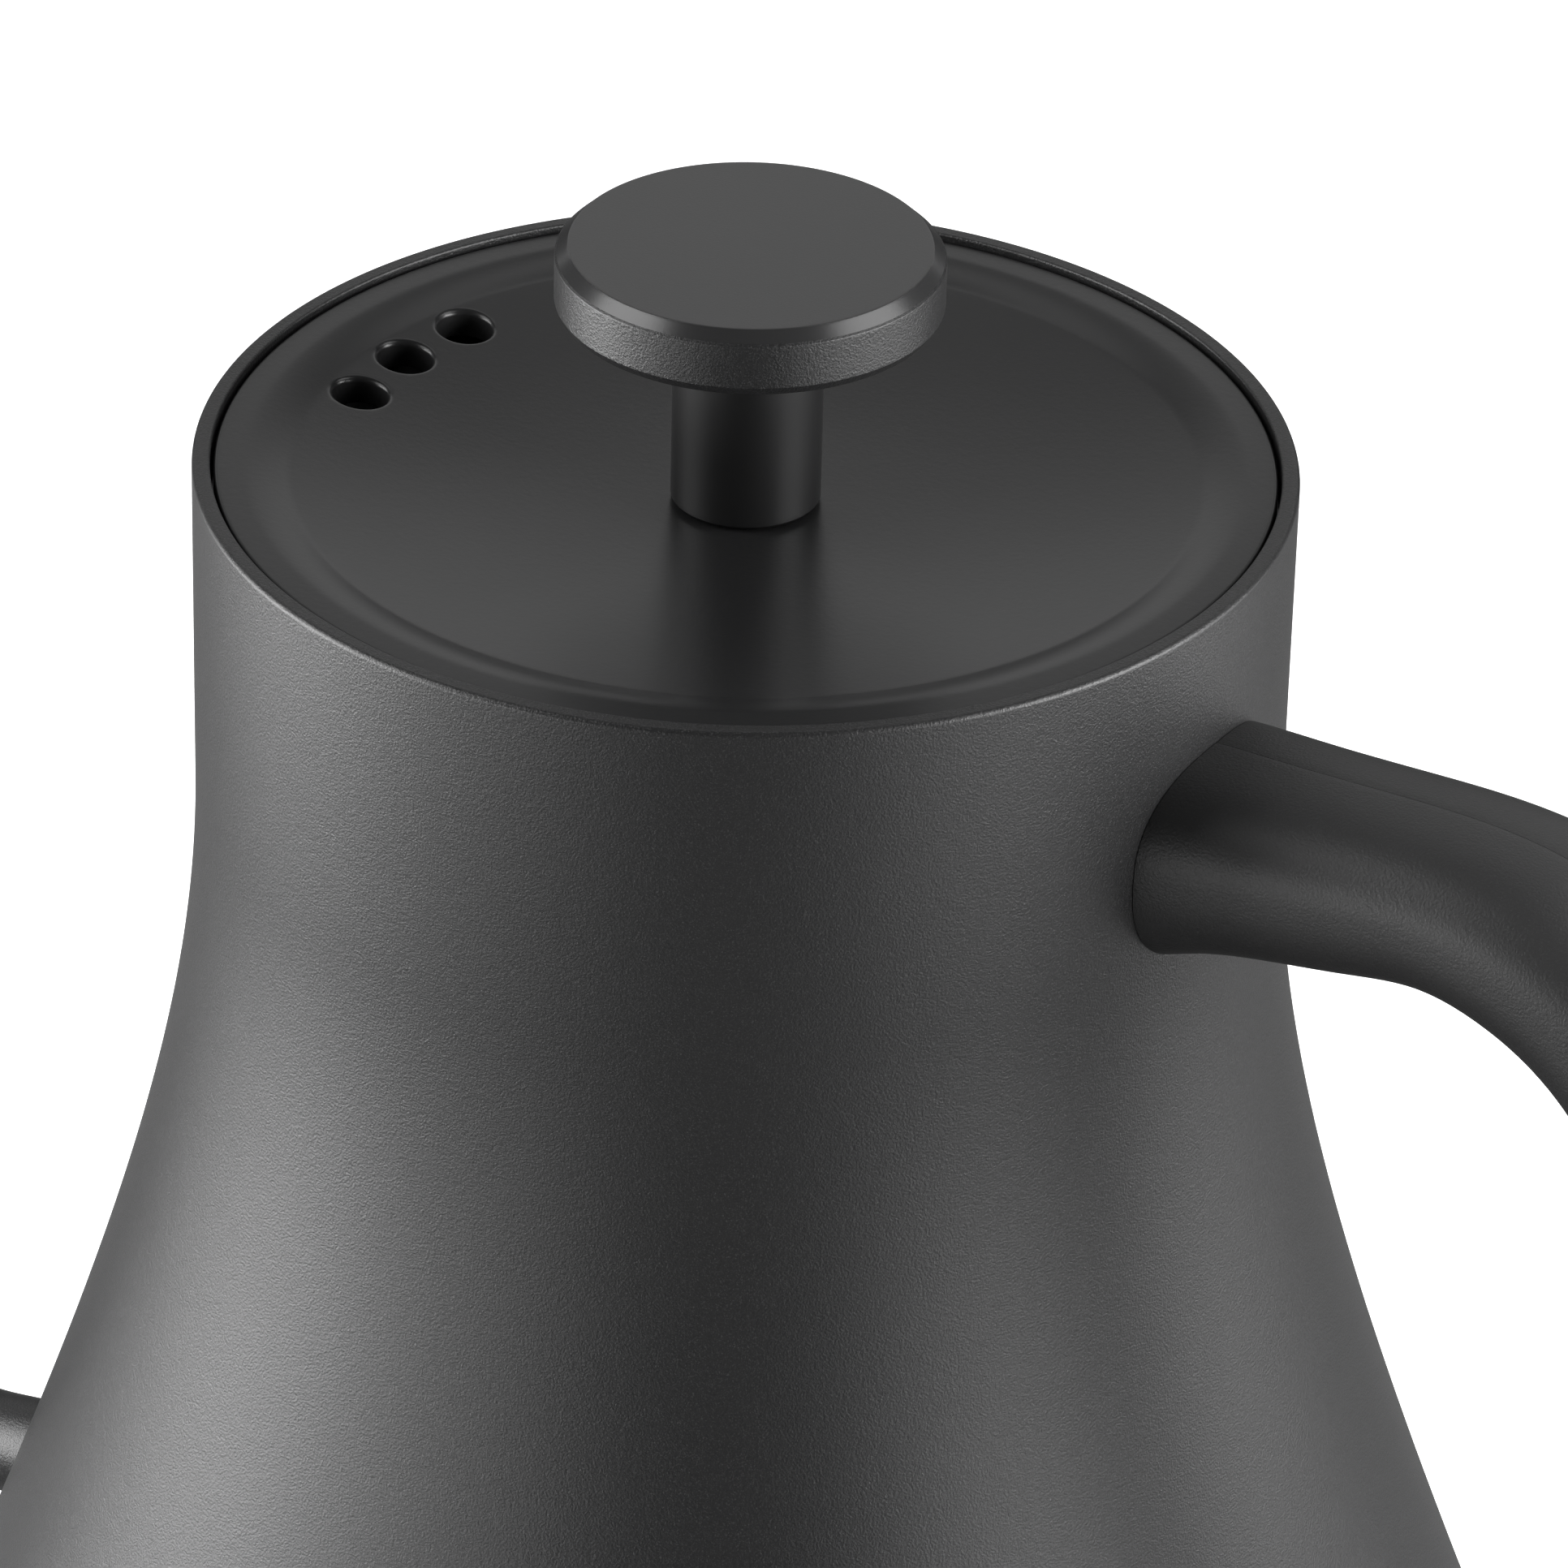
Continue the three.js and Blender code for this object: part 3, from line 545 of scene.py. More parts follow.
def curve_through(stations: Array, count: int) -> Array:
    """A smooth curve through stations: a cubic Hermite with the slopes of a natural spline.

    The slopes at the stations solve the tridiagonal system that makes the second derivative run on,
    with the distance between stations as the parameter.

    Args:
        stations: the rows of values to pass through, (n, k), the first of them places in space.
        count: how many points to return.

    Returns:
        Points along the curve, (count, k).
    """
    n = len(stations)
    gap = np.linalg.norm(np.diff(stations[:, :2], axis=0), axis=1)
    knot = np.concatenate([[0.0], np.cumsum(gap)])
    rise = np.diff(stations, axis=0) / gap[:, None]
    system = np.zeros((n, n))
    inner = np.arange(1, n - 1)
    system[inner, inner - 1] = gap[1:]
    system[inner, inner] = 2.0 * (gap[:-1] + gap[1:])
    system[inner, inner + 1] = gap[:-1]
    system[0, :2] = 2.0, 1.0
    system[-1, -2:] = 1.0, 2.0
    right = np.zeros_like(stations)
    right[1:-1] = 3.0 * (gap[1:, None] * rise[:-1] + gap[:-1, None] * rise[1:])
    right[0], right[-1] = 3.0 * rise[0], 3.0 * rise[-1]
    slope = np.linalg.solve(system, right)
    at = np.linspace(0.0, knot[-1], count)
    cell = np.clip(np.searchsorted(knot, at, side="right") - 1, 0, n - 2)
    t = ((at - knot[cell]) / gap[cell])[:, None]
    width = gap[cell][:, None]
    return ((1 + 2 * t) * (1 - t) ** 2 * stations[cell] + t * (1 - t) ** 2 * width * slope[cell]
            + t * t * (3 - 2 * t) * stations[cell + 1] - t * t * (1 - t) * width * slope[cell + 1])


def swept(spine: Array, across: Array, upward: Array) -> Array:
    """Carries a section along a spine that lies in the XZ plane.

    Args:
        spine: the spine's x and z, (stations, 2).
        across: the section's y at each station, (stations, points).
        upward: the section's height off the spine at each station, (stations, points).

    Returns:
        A grid (stations, points, 3): each section stands square to the spine.
    """
    along = unit(np.gradient(spine, axis=0))
    x = spine[:, :1] - along[:, 1:] * upward
    z = spine[:, 1:] + along[:, :1] * upward
    return np.stack([x, across, z], axis=-1)


def rooted(surface: Array, wall: Callable[[Array], Array], gap: float, rows: int,
           crowding: float) -> Array:
    """Starts each lengthwise line of a tube where it comes out of the jug's wall.

    The distance from the axis, less the wall's radius at that height, changes sign there. Ahead of
    its first station the tube runs on straight, so that every line starts inside.

    Args:
        surface: a fine grid (stations, points, 3) that starts inside the wall.
        wall: the wall's radius at a height.
        gap: how far outside the wall the lines start; below 0, inside it.
        rows: how many stations to return.
        crowding: above 1, the stations stand closer together at the wall.

    Returns:
        A grid (rows, points, 3).
    """
    lead = np.arange(-300, 0)[:, None, None] * (surface[1:2] - surface[:1])
    surface = np.concatenate([surface[:1] + lead, surface])
    last = surface.shape[0] - 1
    outside = np.hypot(surface[..., 0], surface[..., 1]) - (wall(surface[..., 2]) + gap)
    after = np.maximum(np.argmax(outside > 0.0, axis=0), 1)
    column = np.arange(surface.shape[1])
    low, high = outside[after - 1, column], outside[after, column]
    start = after - 1 + low / (low - high)
    share = np.linspace(0.0, 1.0, rows)[:, None] ** crowding
    place = start + share * (last - start)
    below = np.minimum(place.astype(int), last - 1)
    part = (place - below)[..., None]
    return surface[below, column] * (1 - part) + surface[below + 1, column] * part


def carve(piece: bpy.types.Object, *cutters: bpy.types.Object) -> None:
    """Cuts closed shapes out of a piece and removes them.

    Args:
        piece: the piece to cut, whose mesh is replaced.
        cutters: the shapes to take away.
    """
    for cutter in cutters:
        cut = piece.modifiers.new("cut", "BOOLEAN")
        cut.operation, cut.solver, cut.object = "DIFFERENCE", "EXACT", cutter
    ready = piece.evaluated_get(bpy.context.evaluated_depsgraph_get())
    mesh = bpy.data.meshes.new_from_object(ready)
    piece.modifiers.clear()
    piece.data = mesh
    mesh.shade_smooth()
    mesh.set_sharp_from_angle(angle=np.radians(34.0))
    for cutter in cutters:
        bpy.data.objects.remove(cutter)


def dress(piece: bpy.types.Object, body: Body, slot: Slot, stands_for: Sequence[str],
          finishes: Sequence[Finish] = ()) -> bpy.types.Object:
    """Gives a piece its finish and its place among the bodies.

    Args:
        piece: the new piece.
        body: the body it rides on.
        slot: the record's slot that it takes its finish from.
        stands_for: the frame's nodes that it replaces.
        finishes: the piece's finishes, or none for its slot's own.

    Returns:
        The piece.
    """
    for finish in finishes or [SLOT_FINISH[slot]]:
        piece.data.materials.append(finish.material())
    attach(piece, body.value)
    if stands_for:
        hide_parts(*stands_for)
    log.info("%s: %d faces, rides on %s", piece.name, len(piece.data.polygons), body.value)
    return piece


def height_of(node: str) -> tuple[float, float]:
    """The lowest and highest z of one of the frame's nodes."""
    low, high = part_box(node)
    return low[2], high[2]


def spot_of(node: str) -> tuple[float, float]:
    """The x and y of the middle of one of the frame's nodes."""
    low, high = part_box(node)
    return 0.5 * (low[0] + high[0]), 0.5 * (low[1] + high[1])


# ---- the jug ----
FOOT_Z, RIM_Z = height_of("kettle_body")


@dataclass
class Wall:
    """The jug's wall: a straight neck that eases into a flared skirt."""

    neck: float = 0.0483
    straight: float = 0.0312  # from the rim down to where the flare starts
    lean: float = 0.442  # the slope that the flare tends to
    ease: float = 0.0579  # how slowly it gets there
    thickness: float = 0.0013
    foot_round: float = 0.005
    rim_inside: float = 0.04672
    bore: float = 0.0035
    bore_z: float = 0.0142  # above the jug's foot

    def radius(self, z: Array) -> Array:
        """The outer radius at a height: the neck's, plus the lean times a hyperbola's rise."""
        run = np.maximum(0.0, RIM_Z - z - self.straight)
        return self.neck + self.lean * (np.hypot(run, self.ease) - self.ease)

    def outline(self) -> Array:
        """The half section, from the rim's outer edge down the outside and back up the inside.

        Returns:
            Points of radius and height, (n, 2), closing on the first.
        """
        run = RIM_Z - FOOT_Z - self.straight
        lean = np.arctan(self.lean * run / np.hypot(run, self.ease))
        turn_z = FOOT_Z + self.foot_round * (1.0 + np.sin(lean))
        turn_r = float(self.radius(turn_z)) - self.foot_round * np.cos(lean)
        sweep = np.linspace(lean, -np.pi / 2, 14)
        down = np.linspace(RIM_Z - 0.0016, turn_z + 0.0004, 90)
        outside = np.column_stack([self.radius(down), down])

        def arc(size: float) -> Array:
            """The turn at the foot, at a distance from its centre."""
            return np.column_stack([turn_r + size * np.cos(sweep),
                                    FOOT_Z + self.foot_round + size * np.sin(sweep)])

        inside = outside[::-1] - [self.thickness, 0.0]
        rim = filleted([
            (self.rim_inside, RIM_Z - 0.0016, 0.0), (self.rim_inside, RIM_Z, 0.00022),
            (self.neck, RIM_Z, 0.00045), (self.neck, RIM_Z - 0.0016, 0.0),
        ], closed=False, steps=7, support=0.0001)
        lip = [[self.rim_inside, RIM_Z - 0.0016]]
        return closing(np.vstack([rim, outside[1:], arc(self.foot_round),
                                  arc(self.foot_round - self.thickness)[::-1], inside[:-1], lip]))

    def build(self) -> None:
        """Makes the shell and bores it for the spout."""
        shell = Form().grid(spun(self.outline(), 256), around=True).piece("body_shell")
        cutter = drill(self.bore, 0.055, 0.095, sides=64)
        cutter.data.transform(Matrix.Rotation(-np.pi / 2, 4, "Y"))
        cutter.data.transform(Matrix.Translation((0, 0, FOOT_Z + self.bore_z)))
        carve(shell, cutter)
        dress(shell, Body.JUG, Slot.POWDER_COAT, ["kettle_body"], [POWDER])


@dataclass
class Spout:
    """The gooseneck: a tube that leaves low, rises beside the body and turns out at the top."""

    wall: Wall
    skin: float = 0.0012
    weld: float = 0.0016  # radius of the weld's fillet
    tip_round: float = 0.0004
    # x, height above the jug's foot, and outer radius of each station, in millimetres
    line: tuple[tuple[float, float, float], ...] = (
        (-70, 14.2, 4.9), (-79, 13.7, 4.9), (-90, 12.4, 4.9), (-98.5, 15.5, 5.2),
        (-103.4, 23.5, 5.5), (-105.4, 36, 5.8), (-106, 54, 6.0), (-106.2, 74, 6.1),
        (-106.4, 92, 6.0), (-107, 112, 5.8), (-109.2, 127, 5.6), (-113, 138, 5.5),
        (-119, 144, 5.4), (-125, 145.6, 5.4),
    )

    def tube(self, inward: float, sides: int = 64, stations: int = 900) -> Array:
        """A round tube along the line.

        Args:
            inward: how much thinner than the outside it is.
            sides: points round it.
            stations: how many sections it has.

        Returns:
            A grid (stations, sides + 1, 3), closed round.
        """
        stops = np.array(self.line) * MM
        stops[:, 1] += FOOT_Z
        path = curve_through(stops, stations)
        angle = np.linspace(0.0, 2.0 * np.pi, sides + 1)[None, :]
        radius = path[:, 2:] - inward
        return swept(path[:, :2], radius * np.sin(angle), radius * np.cos(angle))

    def build(self) -> None:
        """Makes the tube, its bore and its rounded mouth, with the weld's fillet at the wall."""
        outside = rooted(self.tube(0.0), self.wall.radius, 0.0001, 150, 1.3)
        inside = rooted(self.tube(self.skin), self.wall.radius, -0.0008, 110, 1.0)
        arc_length = np.linalg.norm(outside - outside[:1], axis=-1, keepdims=True)
        middle = outside.mean(axis=1, keepdims=True)
        fillet = self.weld * np.exp(-arc_length / (0.6 * self.weld))
        outside = outside + unit(outside - middle) * fillet
        lip = self.mouth(outside[-1], inside[-1])
        form = Form().grid(outside).grid(lip).grid(inside).grid(np.stack([outside[0], inside[0]]))
        dress(form.piece("spout_tube"), Body.JUG, Slot.POWDER_COAT, ["spout"], [POWDER])

    def mouth(self, outer: Array, inner: Array) -> Array:
        """The mouth's edge, half an ellipse from the outer ring over to the inner one.

        Args:
            outer: the outer ring, (points, 3).
            inner: the inner ring, (points, 3).

        Returns:
            A grid (rows, points, 3).
        """
        share = np.linspace(0.0, np.pi, 9)[:, None, None]
        forward = np.cross(outer[0] - outer[16], outer[8] - outer[24])
        forward /= -np.linalg.norm(forward)
        forward *= np.sign(forward @ (-1.0, 0.0, 0.0))
        return (outer * (1 + np.cos(share)) / 2 + inner * (1 - np.cos(share)) / 2
                + forward * self.tip_round * np.sin(share))


@dataclass
class Handle:
    """The grip: an arm that leaves the neck, bends down and ends free, in two moulded halves."""

    wall: Wall
    bend_radius: float = 29.0
    bend_turn: float = 74.0  # degrees
    squareness: float = 2.45  # exponent of the section's superellipse
    seam_depth: float = 0.00007
    seam_width: float = 0.00035
    # x and depth below the rim of the spine, half depth and half width, in millimetres
    arm: tuple[tuple[float, float, float, float], ...] = (
        (46, -22.5, 9.8, 11.1), (50, -21.7, 9.15, 11), (56, -20.9, 8.5, 10.7), (64, -20, 8, 10.4),
        (73, -19.2, 7.5, 10.3),
    )
    # how far down the grip, half depth and half width
    grip: tuple[tuple[float, float, float], ...] = (
        (10, 9.5, 11.8), (26, 9.75, 12), (44, 9.45, 11.7), (56, 8.75, 10.9), (60, 7.95, 9.95),
        (62.6, 6.9, 8.6), (64.2, 5.0, 6.3), (64.9, 2.6, 3.3),
    )

    def stations(self) -> Array:
        """The spine's stations: the arm, a circular bend, and a straight grip.

        Returns:
            Rows of x, z, half depth and half width, in metres, in the frame.
        """
        corner_x, corner_z = self.arm[-1][:2]
        turn = np.radians(np.array([14.0, 30.0, 46.0, 61.0, self.bend_turn]))
        swell = turn / turn[-1]
        bend = np.column_stack([
            corner_x + self.bend_radius * np.sin(turn),
            corner_z - self.bend_radius * (1 - np.cos(turn)),
            7.5 + 1.7 * swell, 10.3 + 1.2 * swell])
        down = np.array(self.grip)
        straight = np.column_stack([
            bend[-1, 0] + down[:, 0] * np.cos(turn[-1]),
            bend[-1, 1] - down[:, 0] * np.sin(turn[-1]), down[:, 1:]])
        rows = np.vstack([self.arm, bend, straight]) * MM
        rows[:, 1] += RIM_Z
        return rows

    def skin(self, side: int, points: int = 65) -> Array:
        """One half of the grip's outside.

        The section is a superellipse; near the mould line it dips by the seam's depth.

        Args:
            side: -1 for the half at -Y, 1 for the half at +Y.
            points: how many points go from the top seam to the bottom one.

        Returns:
            A grid (stations, points, 3) that starts inside the neck.
        """
        rows = curve_through(self.stations(), 1400)
        angle = np.linspace(0.0, np.pi, points)[None, :]
        cosine, sine = np.cos(angle), np.sin(angle)
        power = self.squareness
        bulge = (np.abs(cosine) ** power + sine ** power) ** (-1 / power)
        across, upward = rows[:, 3:] * sine * bulge, rows[:, 2:3] * cosine * bulge
        dip = self.seam_depth * np.exp(-(across / self.seam_width) ** 2)
        across = side * np.maximum(across, 0.00002)
        return swept(rows[:, :2], across, upward - np.sign(cosine) * dip)

    def build(self) -> None:
        """Makes the two halves, each closed by a flat face along the mould line."""
        for side, name in ((-1, "left"), (1, "right")):
            skin = rooted(self.skin(side), self.wall.radius, 0.00008, 220, 1.2)
            middle = 0.5 * (skin[:, :1] + skin[:, -1:])
            share = np.linspace(0.0, 1.0, 9)[None, :, None]
            seam = skin[:, -1:] * (1 - share) + skin[:, :1] * share
            form = Form().grid(skin).grid(seam)
            for end in (0, -1):
                form.fan(np.vstack([skin[end], seam[end, 1:-1]]))
            piece = form.piece(f"grip_{name}", sharp=50.0)
            dress(piece, Body.JUG, Slot.GRIP_PLASTIC, [f"handle_shell_{name}"])


# ---- the lid ----
@dataclass
class Lid:
    """The lid: a dished cover with steam vents, its underside, and the knob on its stem."""

    radius: float = 0.04642
    ring_z: float = -0.00055
    ring_inside: float = 0.0437
    step_inside: float = 0.0399
    step_z: float = -0.00145
    dish_z: float = -0.0041
    dish_power: float = 2.2
    under_z: float = -0.0052
    edge_round: float = 0.0003
    vent_radius: float = 0.0025
    vent_round: float = 0.0005
    vent_ring: float = 0.0369
    vent_middle: float = 178.6  # degrees
    vent_step: float = 12.3  # degrees
    stem: float = 0.00658
    knob: float = 0.01694
    knob_face: float = 0.01577

    def top(self, r: Array) -> Array:
        """The cover's height at a radius: a power curve for the dish, then a slope to the ring.

        The slope's two ends are eased by a hyperbola.
        """
        dish = self.dish_z + (self.step_z - self.dish_z) * (r / self.step_inside) ** self.dish_power
        t = (r - self.step_inside) / (self.ring_inside - self.step_inside)
        blend = 0.5 * (1.0 + np.hypot(t, 0.07) - np.hypot(t - 1.0, 0.07))
        return RIM_Z + dish * (1.0 - blend) + self.ring_z * blend

    def bottom(self, r: Array) -> Array:
        """The cover's underside: level in the middle, rising to the edge."""
        t = np.clip((r - 0.024) / (0.044 - 0.024), 0.0, 1.0)
        return RIM_Z + self.under_z + 0.0018 * t * t

    def plate(self, form: Form, height: Callable[[Array], Array], radii: Array,
              rounding: float) -> Array:
        """Adds one face of the cover, with its vents, to a form.

        Round each vent the face is a ring of quads from a patch of the polar grid, in to the vent's
        edge; there it turns down as a quarter circle.

        Args:
            form: the form to add to.
            height: the face's height at a radius.
            radii: the radii of the polar grid; the vents' patches lie between two of them.
            rounding: the vent edge's radius, negative where it turns up.

        Returns:
            The vents' inner rings, (vents, points, 3).
        """
        step = np.radians(self.vent_step)
        cells = 12
        fine = np.linspace(-1.5 * step, 1.5 * step, 3 * cells + 1)
        coarse = np.linspace(1.5 * step, 2 * np.pi - 1.5 * step, 220)[1:-1]
        angle = np.radians(self.vent_middle) + np.concatenate([fine, coarse])
        grid_r, grid_a = np.meshgrid(radii, angle)

        def surface(x: Array, y: Array) -> Array:
            """Places in plan, lifted on to the face."""
            return np.stack([x, y, height(np.hypot(x, y))], axis=-1)

        low, high = np.searchsorted(radii, [self.vent_ring - 0.0036, self.vent_ring + 0.00305])
        keep = np.ones(grid_r.shape, dtype=bool)
        keep[:3 * cells, low:high] = False
        form.grid(surface(grid_r * np.cos(grid_a), grid_r * np.sin(grid_a)), around=True,
                  keep=keep[:, :-1])
        rings = []
        for vent in range(3):
            a = fine[vent * cells:(vent + 1) * cells + 1] + np.radians(self.vent_middle)
            r = radii[low:high + 1]
            edge = np.concatenate([
                np.stack([np.full(cells, r[0]), a[:-1]], axis=1),
                np.stack([r[:-1], np.full(len(r) - 1, a[-1])], axis=1),
                np.stack([np.full(cells, r[-1]), a[:0:-1]], axis=1),
                np.stack([r[:0:-1], np.full(len(r) - 1, a[0])], axis=1)])
            edge = np.column_stack([edge[:, 0] * np.cos(edge[:, 1]),
                                    edge[:, 0] * np.sin(edge[:, 1])])
            middle = self.vent_ring * np.array([np.cos(a[cells // 2]), np.sin(a[cells // 2])])
            bearing = np.arctan2(*(edge - middle).T[::-1])
            ray = np.column_stack([np.cos(bearing), np.sin(bearing)])
            brim = middle + ray * (self.vent_radius + abs(rounding))
            share = np.linspace(0.0, 1.0, 7)[:, None, None]
            flat = edge * (1 - share) + brim * share
            flat = surface(flat[..., 0], flat[..., 1])
            sweep = np.linspace(0.0, np.pi / 2, 7)[1:, None, None]
            turn = middle + ray * (self.vent_radius + abs(rounding) * (1 - np.sin(sweep)))
            turn = surface(turn[..., 0], turn[..., 1])
            turn[..., 2] -= rounding * (1 - np.cos(sweep[..., 0]))
            patch = np.concatenate([flat, turn])
            form.grid(np.concatenate([patch, patch[:, :1]], axis=1))
            rings.append(np.vstack([patch[-1], patch[-1, :1]]))
        return np.stack(rings)

    def cover(self) -> None:
        """Makes the vented cover."""
        radii = np.unique(np.round(np.concatenate([
            np.linspace(0.0, 0.033, 28), np.linspace(0.0335, self.step_inside - 0.0004, 10),
            np.linspace(self.step_inside - 0.0003, self.ring_inside + 0.0003, 22),
            np.linspace(self.ring_inside + 0.0004, self.radius - self.edge_round, 6)]), 7))
        form = Form()
        tops = self.plate(form, self.top, radii, self.vent_round)
        bottoms = self.plate(form, self.bottom, radii, -0.0002)
        for upper, lower in zip(tops, bottoms):
            form.grid(np.stack([upper, lower]))
        edge_r = self.radius - self.edge_round
        crown, base = float(self.top(edge_r)), float(self.bottom(edge_r))
        rim = filleted([(edge_r, crown, 0), (self.radius, crown, self.edge_round * 0.98),
                        (self.radius, base, 0.0002), (edge_r, base, 0)], closed=False, steps=6,
                       support=0.00002)
        step = np.radians(self.vent_step)
        angle = np.radians(self.vent_middle) + np.concatenate([
            np.linspace(-1.5 * step, 1.5 * step, 37),
            np.linspace(1.5 * step, 2 * np.pi - 1.5 * step, 220)[1:-1]])
        radius, height = rim[None, :, 0], rim[None, :, 1]
        edge = np.stack([radius * np.cos(angle[:, None]), radius * np.sin(angle[:, None]),
                         np.broadcast_to(height, (len(angle), len(rim)))], axis=-1)
        form.grid(edge, around=True)
        dress(form.piece("lid_plate", sharp=40.0), Body.LID, Slot.SATIN_BLACK, ["lid_cover"])

    def underside(self) -> None:
        """Makes the skirt, the lip seal and the baffle."""
        z = RIM_Z
        inside, outside, groove = 0.0414, 0.0434, 0.0424
        skirt = [(inside, z - 0.0044, 0.0002), (outside, z - 0.0044, 0.0002),
                 (outside, z - 0.0064, 0.0001), (groove, z - 0.0064, 0.0001),
                 (groove, z - 0.0096, 0.0001), (outside, z - 0.0096, 0.0001),
                 (outside, z - 0.013, 0.0006), (0.0394, z - 0.013, 0.0006),
                 (0.0394, z - 0.0118, 0.0003), (inside, z - 0.0118, 0.0003)]
        dress(turned_piece("lid_skirt_ring", skirt, 200), Body.LID, Slot.BLACK_PLASTIC,
              ["lid_skirt"])
        lip = [(0.0428, z - 0.0092, 0.0002), (outside, z - 0.0092, 0.0002),
               (0.0443, z - 0.0086, 0.00025), (outside, z - 0.0068, 0.0004),
               (0.0428, z - 0.0068, 0.0002)]
        dress(turned_piece("lid_lip_seal", lip, 200), Body.LID, Slot.SILICONE, ["lid_seal"])
        baffle = turned_piece("steam_baffle", [
            (0.0024, z - 0.0115, 0.0001), (0.041, z - 0.0115, 0.0002), (0.041, z - 0.0107, 0.0002),
            (0.0024, z - 0.0107, 0.0001)], 160)
        drills = []
        for k in range(4):
            bearing = np.radians(45 + 90 * k)
            spot = (0.024 * np.cos(bearing), 0.024 * np.sin(bearing))
            drills.append(drill(0.003, z - 0.014, z - 0.009, spot))
        carve(baffle, *drills)
        dress(baffle, Body.LID, Slot.STAINLESS, ["lid_baffle"])

    def handle(self) -> None:
        """Makes the stem and the knob, whose bevel is burnished and whose face is smooth."""
        z = RIM_Z
        foot = float(self.top(self.stem)) + 0.00022
        stem = [(0, foot, 0), (self.stem - 0.0003, foot, 0), (self.stem, foot + 0.0003, 0.0001),
                (self.stem, z + 0.01475, 0), (0, z + 0.01475, 0)]
        dress(turned_piece("knob_post", stem, 160), Body.LID, Slot.POWDER_COAT, ["knob_stem"],
              [STEM])
        under, waist, face = z + 0.0148, z + 0.0196, z + 0.0207
        outline = filleted([
            (0, under, 0), (self.knob - 0.0005, under, 0.0001),
            (self.knob, under + 0.0008, 0.00015), (self.knob, waist, 0.00012),
            (self.knob_face, face, 0.00018), (0, face, 0),
        ], closed=False, steps=5, support=0.0002)
        bevel_start = int(np.argmax(outline[:, 1] > waist + 0.00012))
        bevel_end = int(np.argmax(outline[:, 1] > face - 0.00012))
        form = Form().grid(spun(outline[:bevel_start + 1], 200), around=True, finish=0)
        form.grid(spun(outline[bevel_start:bevel_end + 1], 200), around=True, finish=1)
        crown = outline[bevel_end:]
        inner = np.column_stack([np.linspace(crown[-2, 0], 0.0, 24), np.full(24, face)])
        form.grid(spun(np.vstack([crown[:-1], inner[1:]]), 200), around=True, finish=2)
        dress(form.piece("knob_disc", sharp=60.0), Body.LID, Slot.POWDER_COAT, ["knob_cap"],
              [POWDER, POLISHED, KNOB_TOP])

    def build(self) -> None:
        """Makes the whole lid."""
        self.cover()
        self.underside()
        self.handle()


# ---- inside and under the jug ----
@dataclass
class JugBottom:
    """The chamber's floor, the seat under the rim, and the covers and connector below."""

    wall: Wall
    floor: float = 0.022
    trough: float = 0.0104
    sheet: float = 0.0009

    def build(self) -> None:
        """Makes the pieces that show with the lid off or the jug lifted."""
        z = FOOT_Z
        edge = float(self.wall.radius(z + self.trough)) - self.wall.thickness - 0.0003
        floor, trough = z + self.floor, z + self.trough
        plate = [(0, floor - self.sheet, 0), (0.0514, floor - self.sheet, 0.002),
                 (0.0574, trough - self.sheet, 0.002), (edge, trough - self.sheet, 0),
                 (edge, trough, 0), (0.058, trough, 0.0025), (0.052, floor, 0.0025), (0, floor, 0)]
        dress(turned_piece("chamber_floor", plate, 200), Body.JUG, Slot.STAINLESS, ["floor_plate"])
        seat = [(0.0447, RIM_Z - 0.0052, 0.0003), (0.04665, RIM_Z - 0.0052, 0.0001),
                (0.04665, RIM_Z - 0.0035, 0.0001), (0.0447, RIM_Z - 0.0035, 0.0003)]
        dress(turned_piece("seat_ring", seat, 200), Body.JUG, Slot.STAINLESS, ["lid_seat"])
        outer = 0.0731
        cover = turned_piece("underside_cover", [
            (0.0238, z + 0.001, 0.0002), (outer, z + 0.001, 0.0006), (outer, z + 0.0074, 0.0002),
            (outer - 0.0016, z + 0.0074, 0.0002), (outer - 0.0016, z + 0.003, 0.0003),
            (0.0238, z + 0.003, 0.0002)], 200)
        drills = []
        for bearing in np.radians([30, 150, 270]):
            spot = (0.062 * np.cos(bearing), 0.062 * np.sin(bearing))
            drills.append(screw_drill(z, z + 0.0021, z + 0.004, spot))
        carve(cover, *drills)
        dress(cover, Body.JUG, Slot.BLACK_PLASTIC, ["bottom_cover"])
        socket = [(0, z + 0.011, 0), (0.0162, z + 0.011, 0.0003), (0.0162, z + 0.0036, 0.0006),
                  (0.02, z + 0.0036, 0.0003), (0.02, z + 0.001, 0.0003),
                  (0.0234, z + 0.001, 0.0004), (0.0234, z + 0.0124, 0.0003), (0, z + 0.0124, 0)]
        dress(turned_piece("socket", socket, 120), Body.JUG, Slot.BLACK_PLASTIC, ["jug_connector"])
        pin = [(0, z + 0.0036, 0), (0.0019, z + 0.0036, 0.0009), (0.0019, z + 0.0107, 0),
               (0, z + 0.0107, 0)]
        dress(turned_piece("socket_pin", pin, 48), Body.JUG, Slot.BRASS, ["jug_centre_pin"])


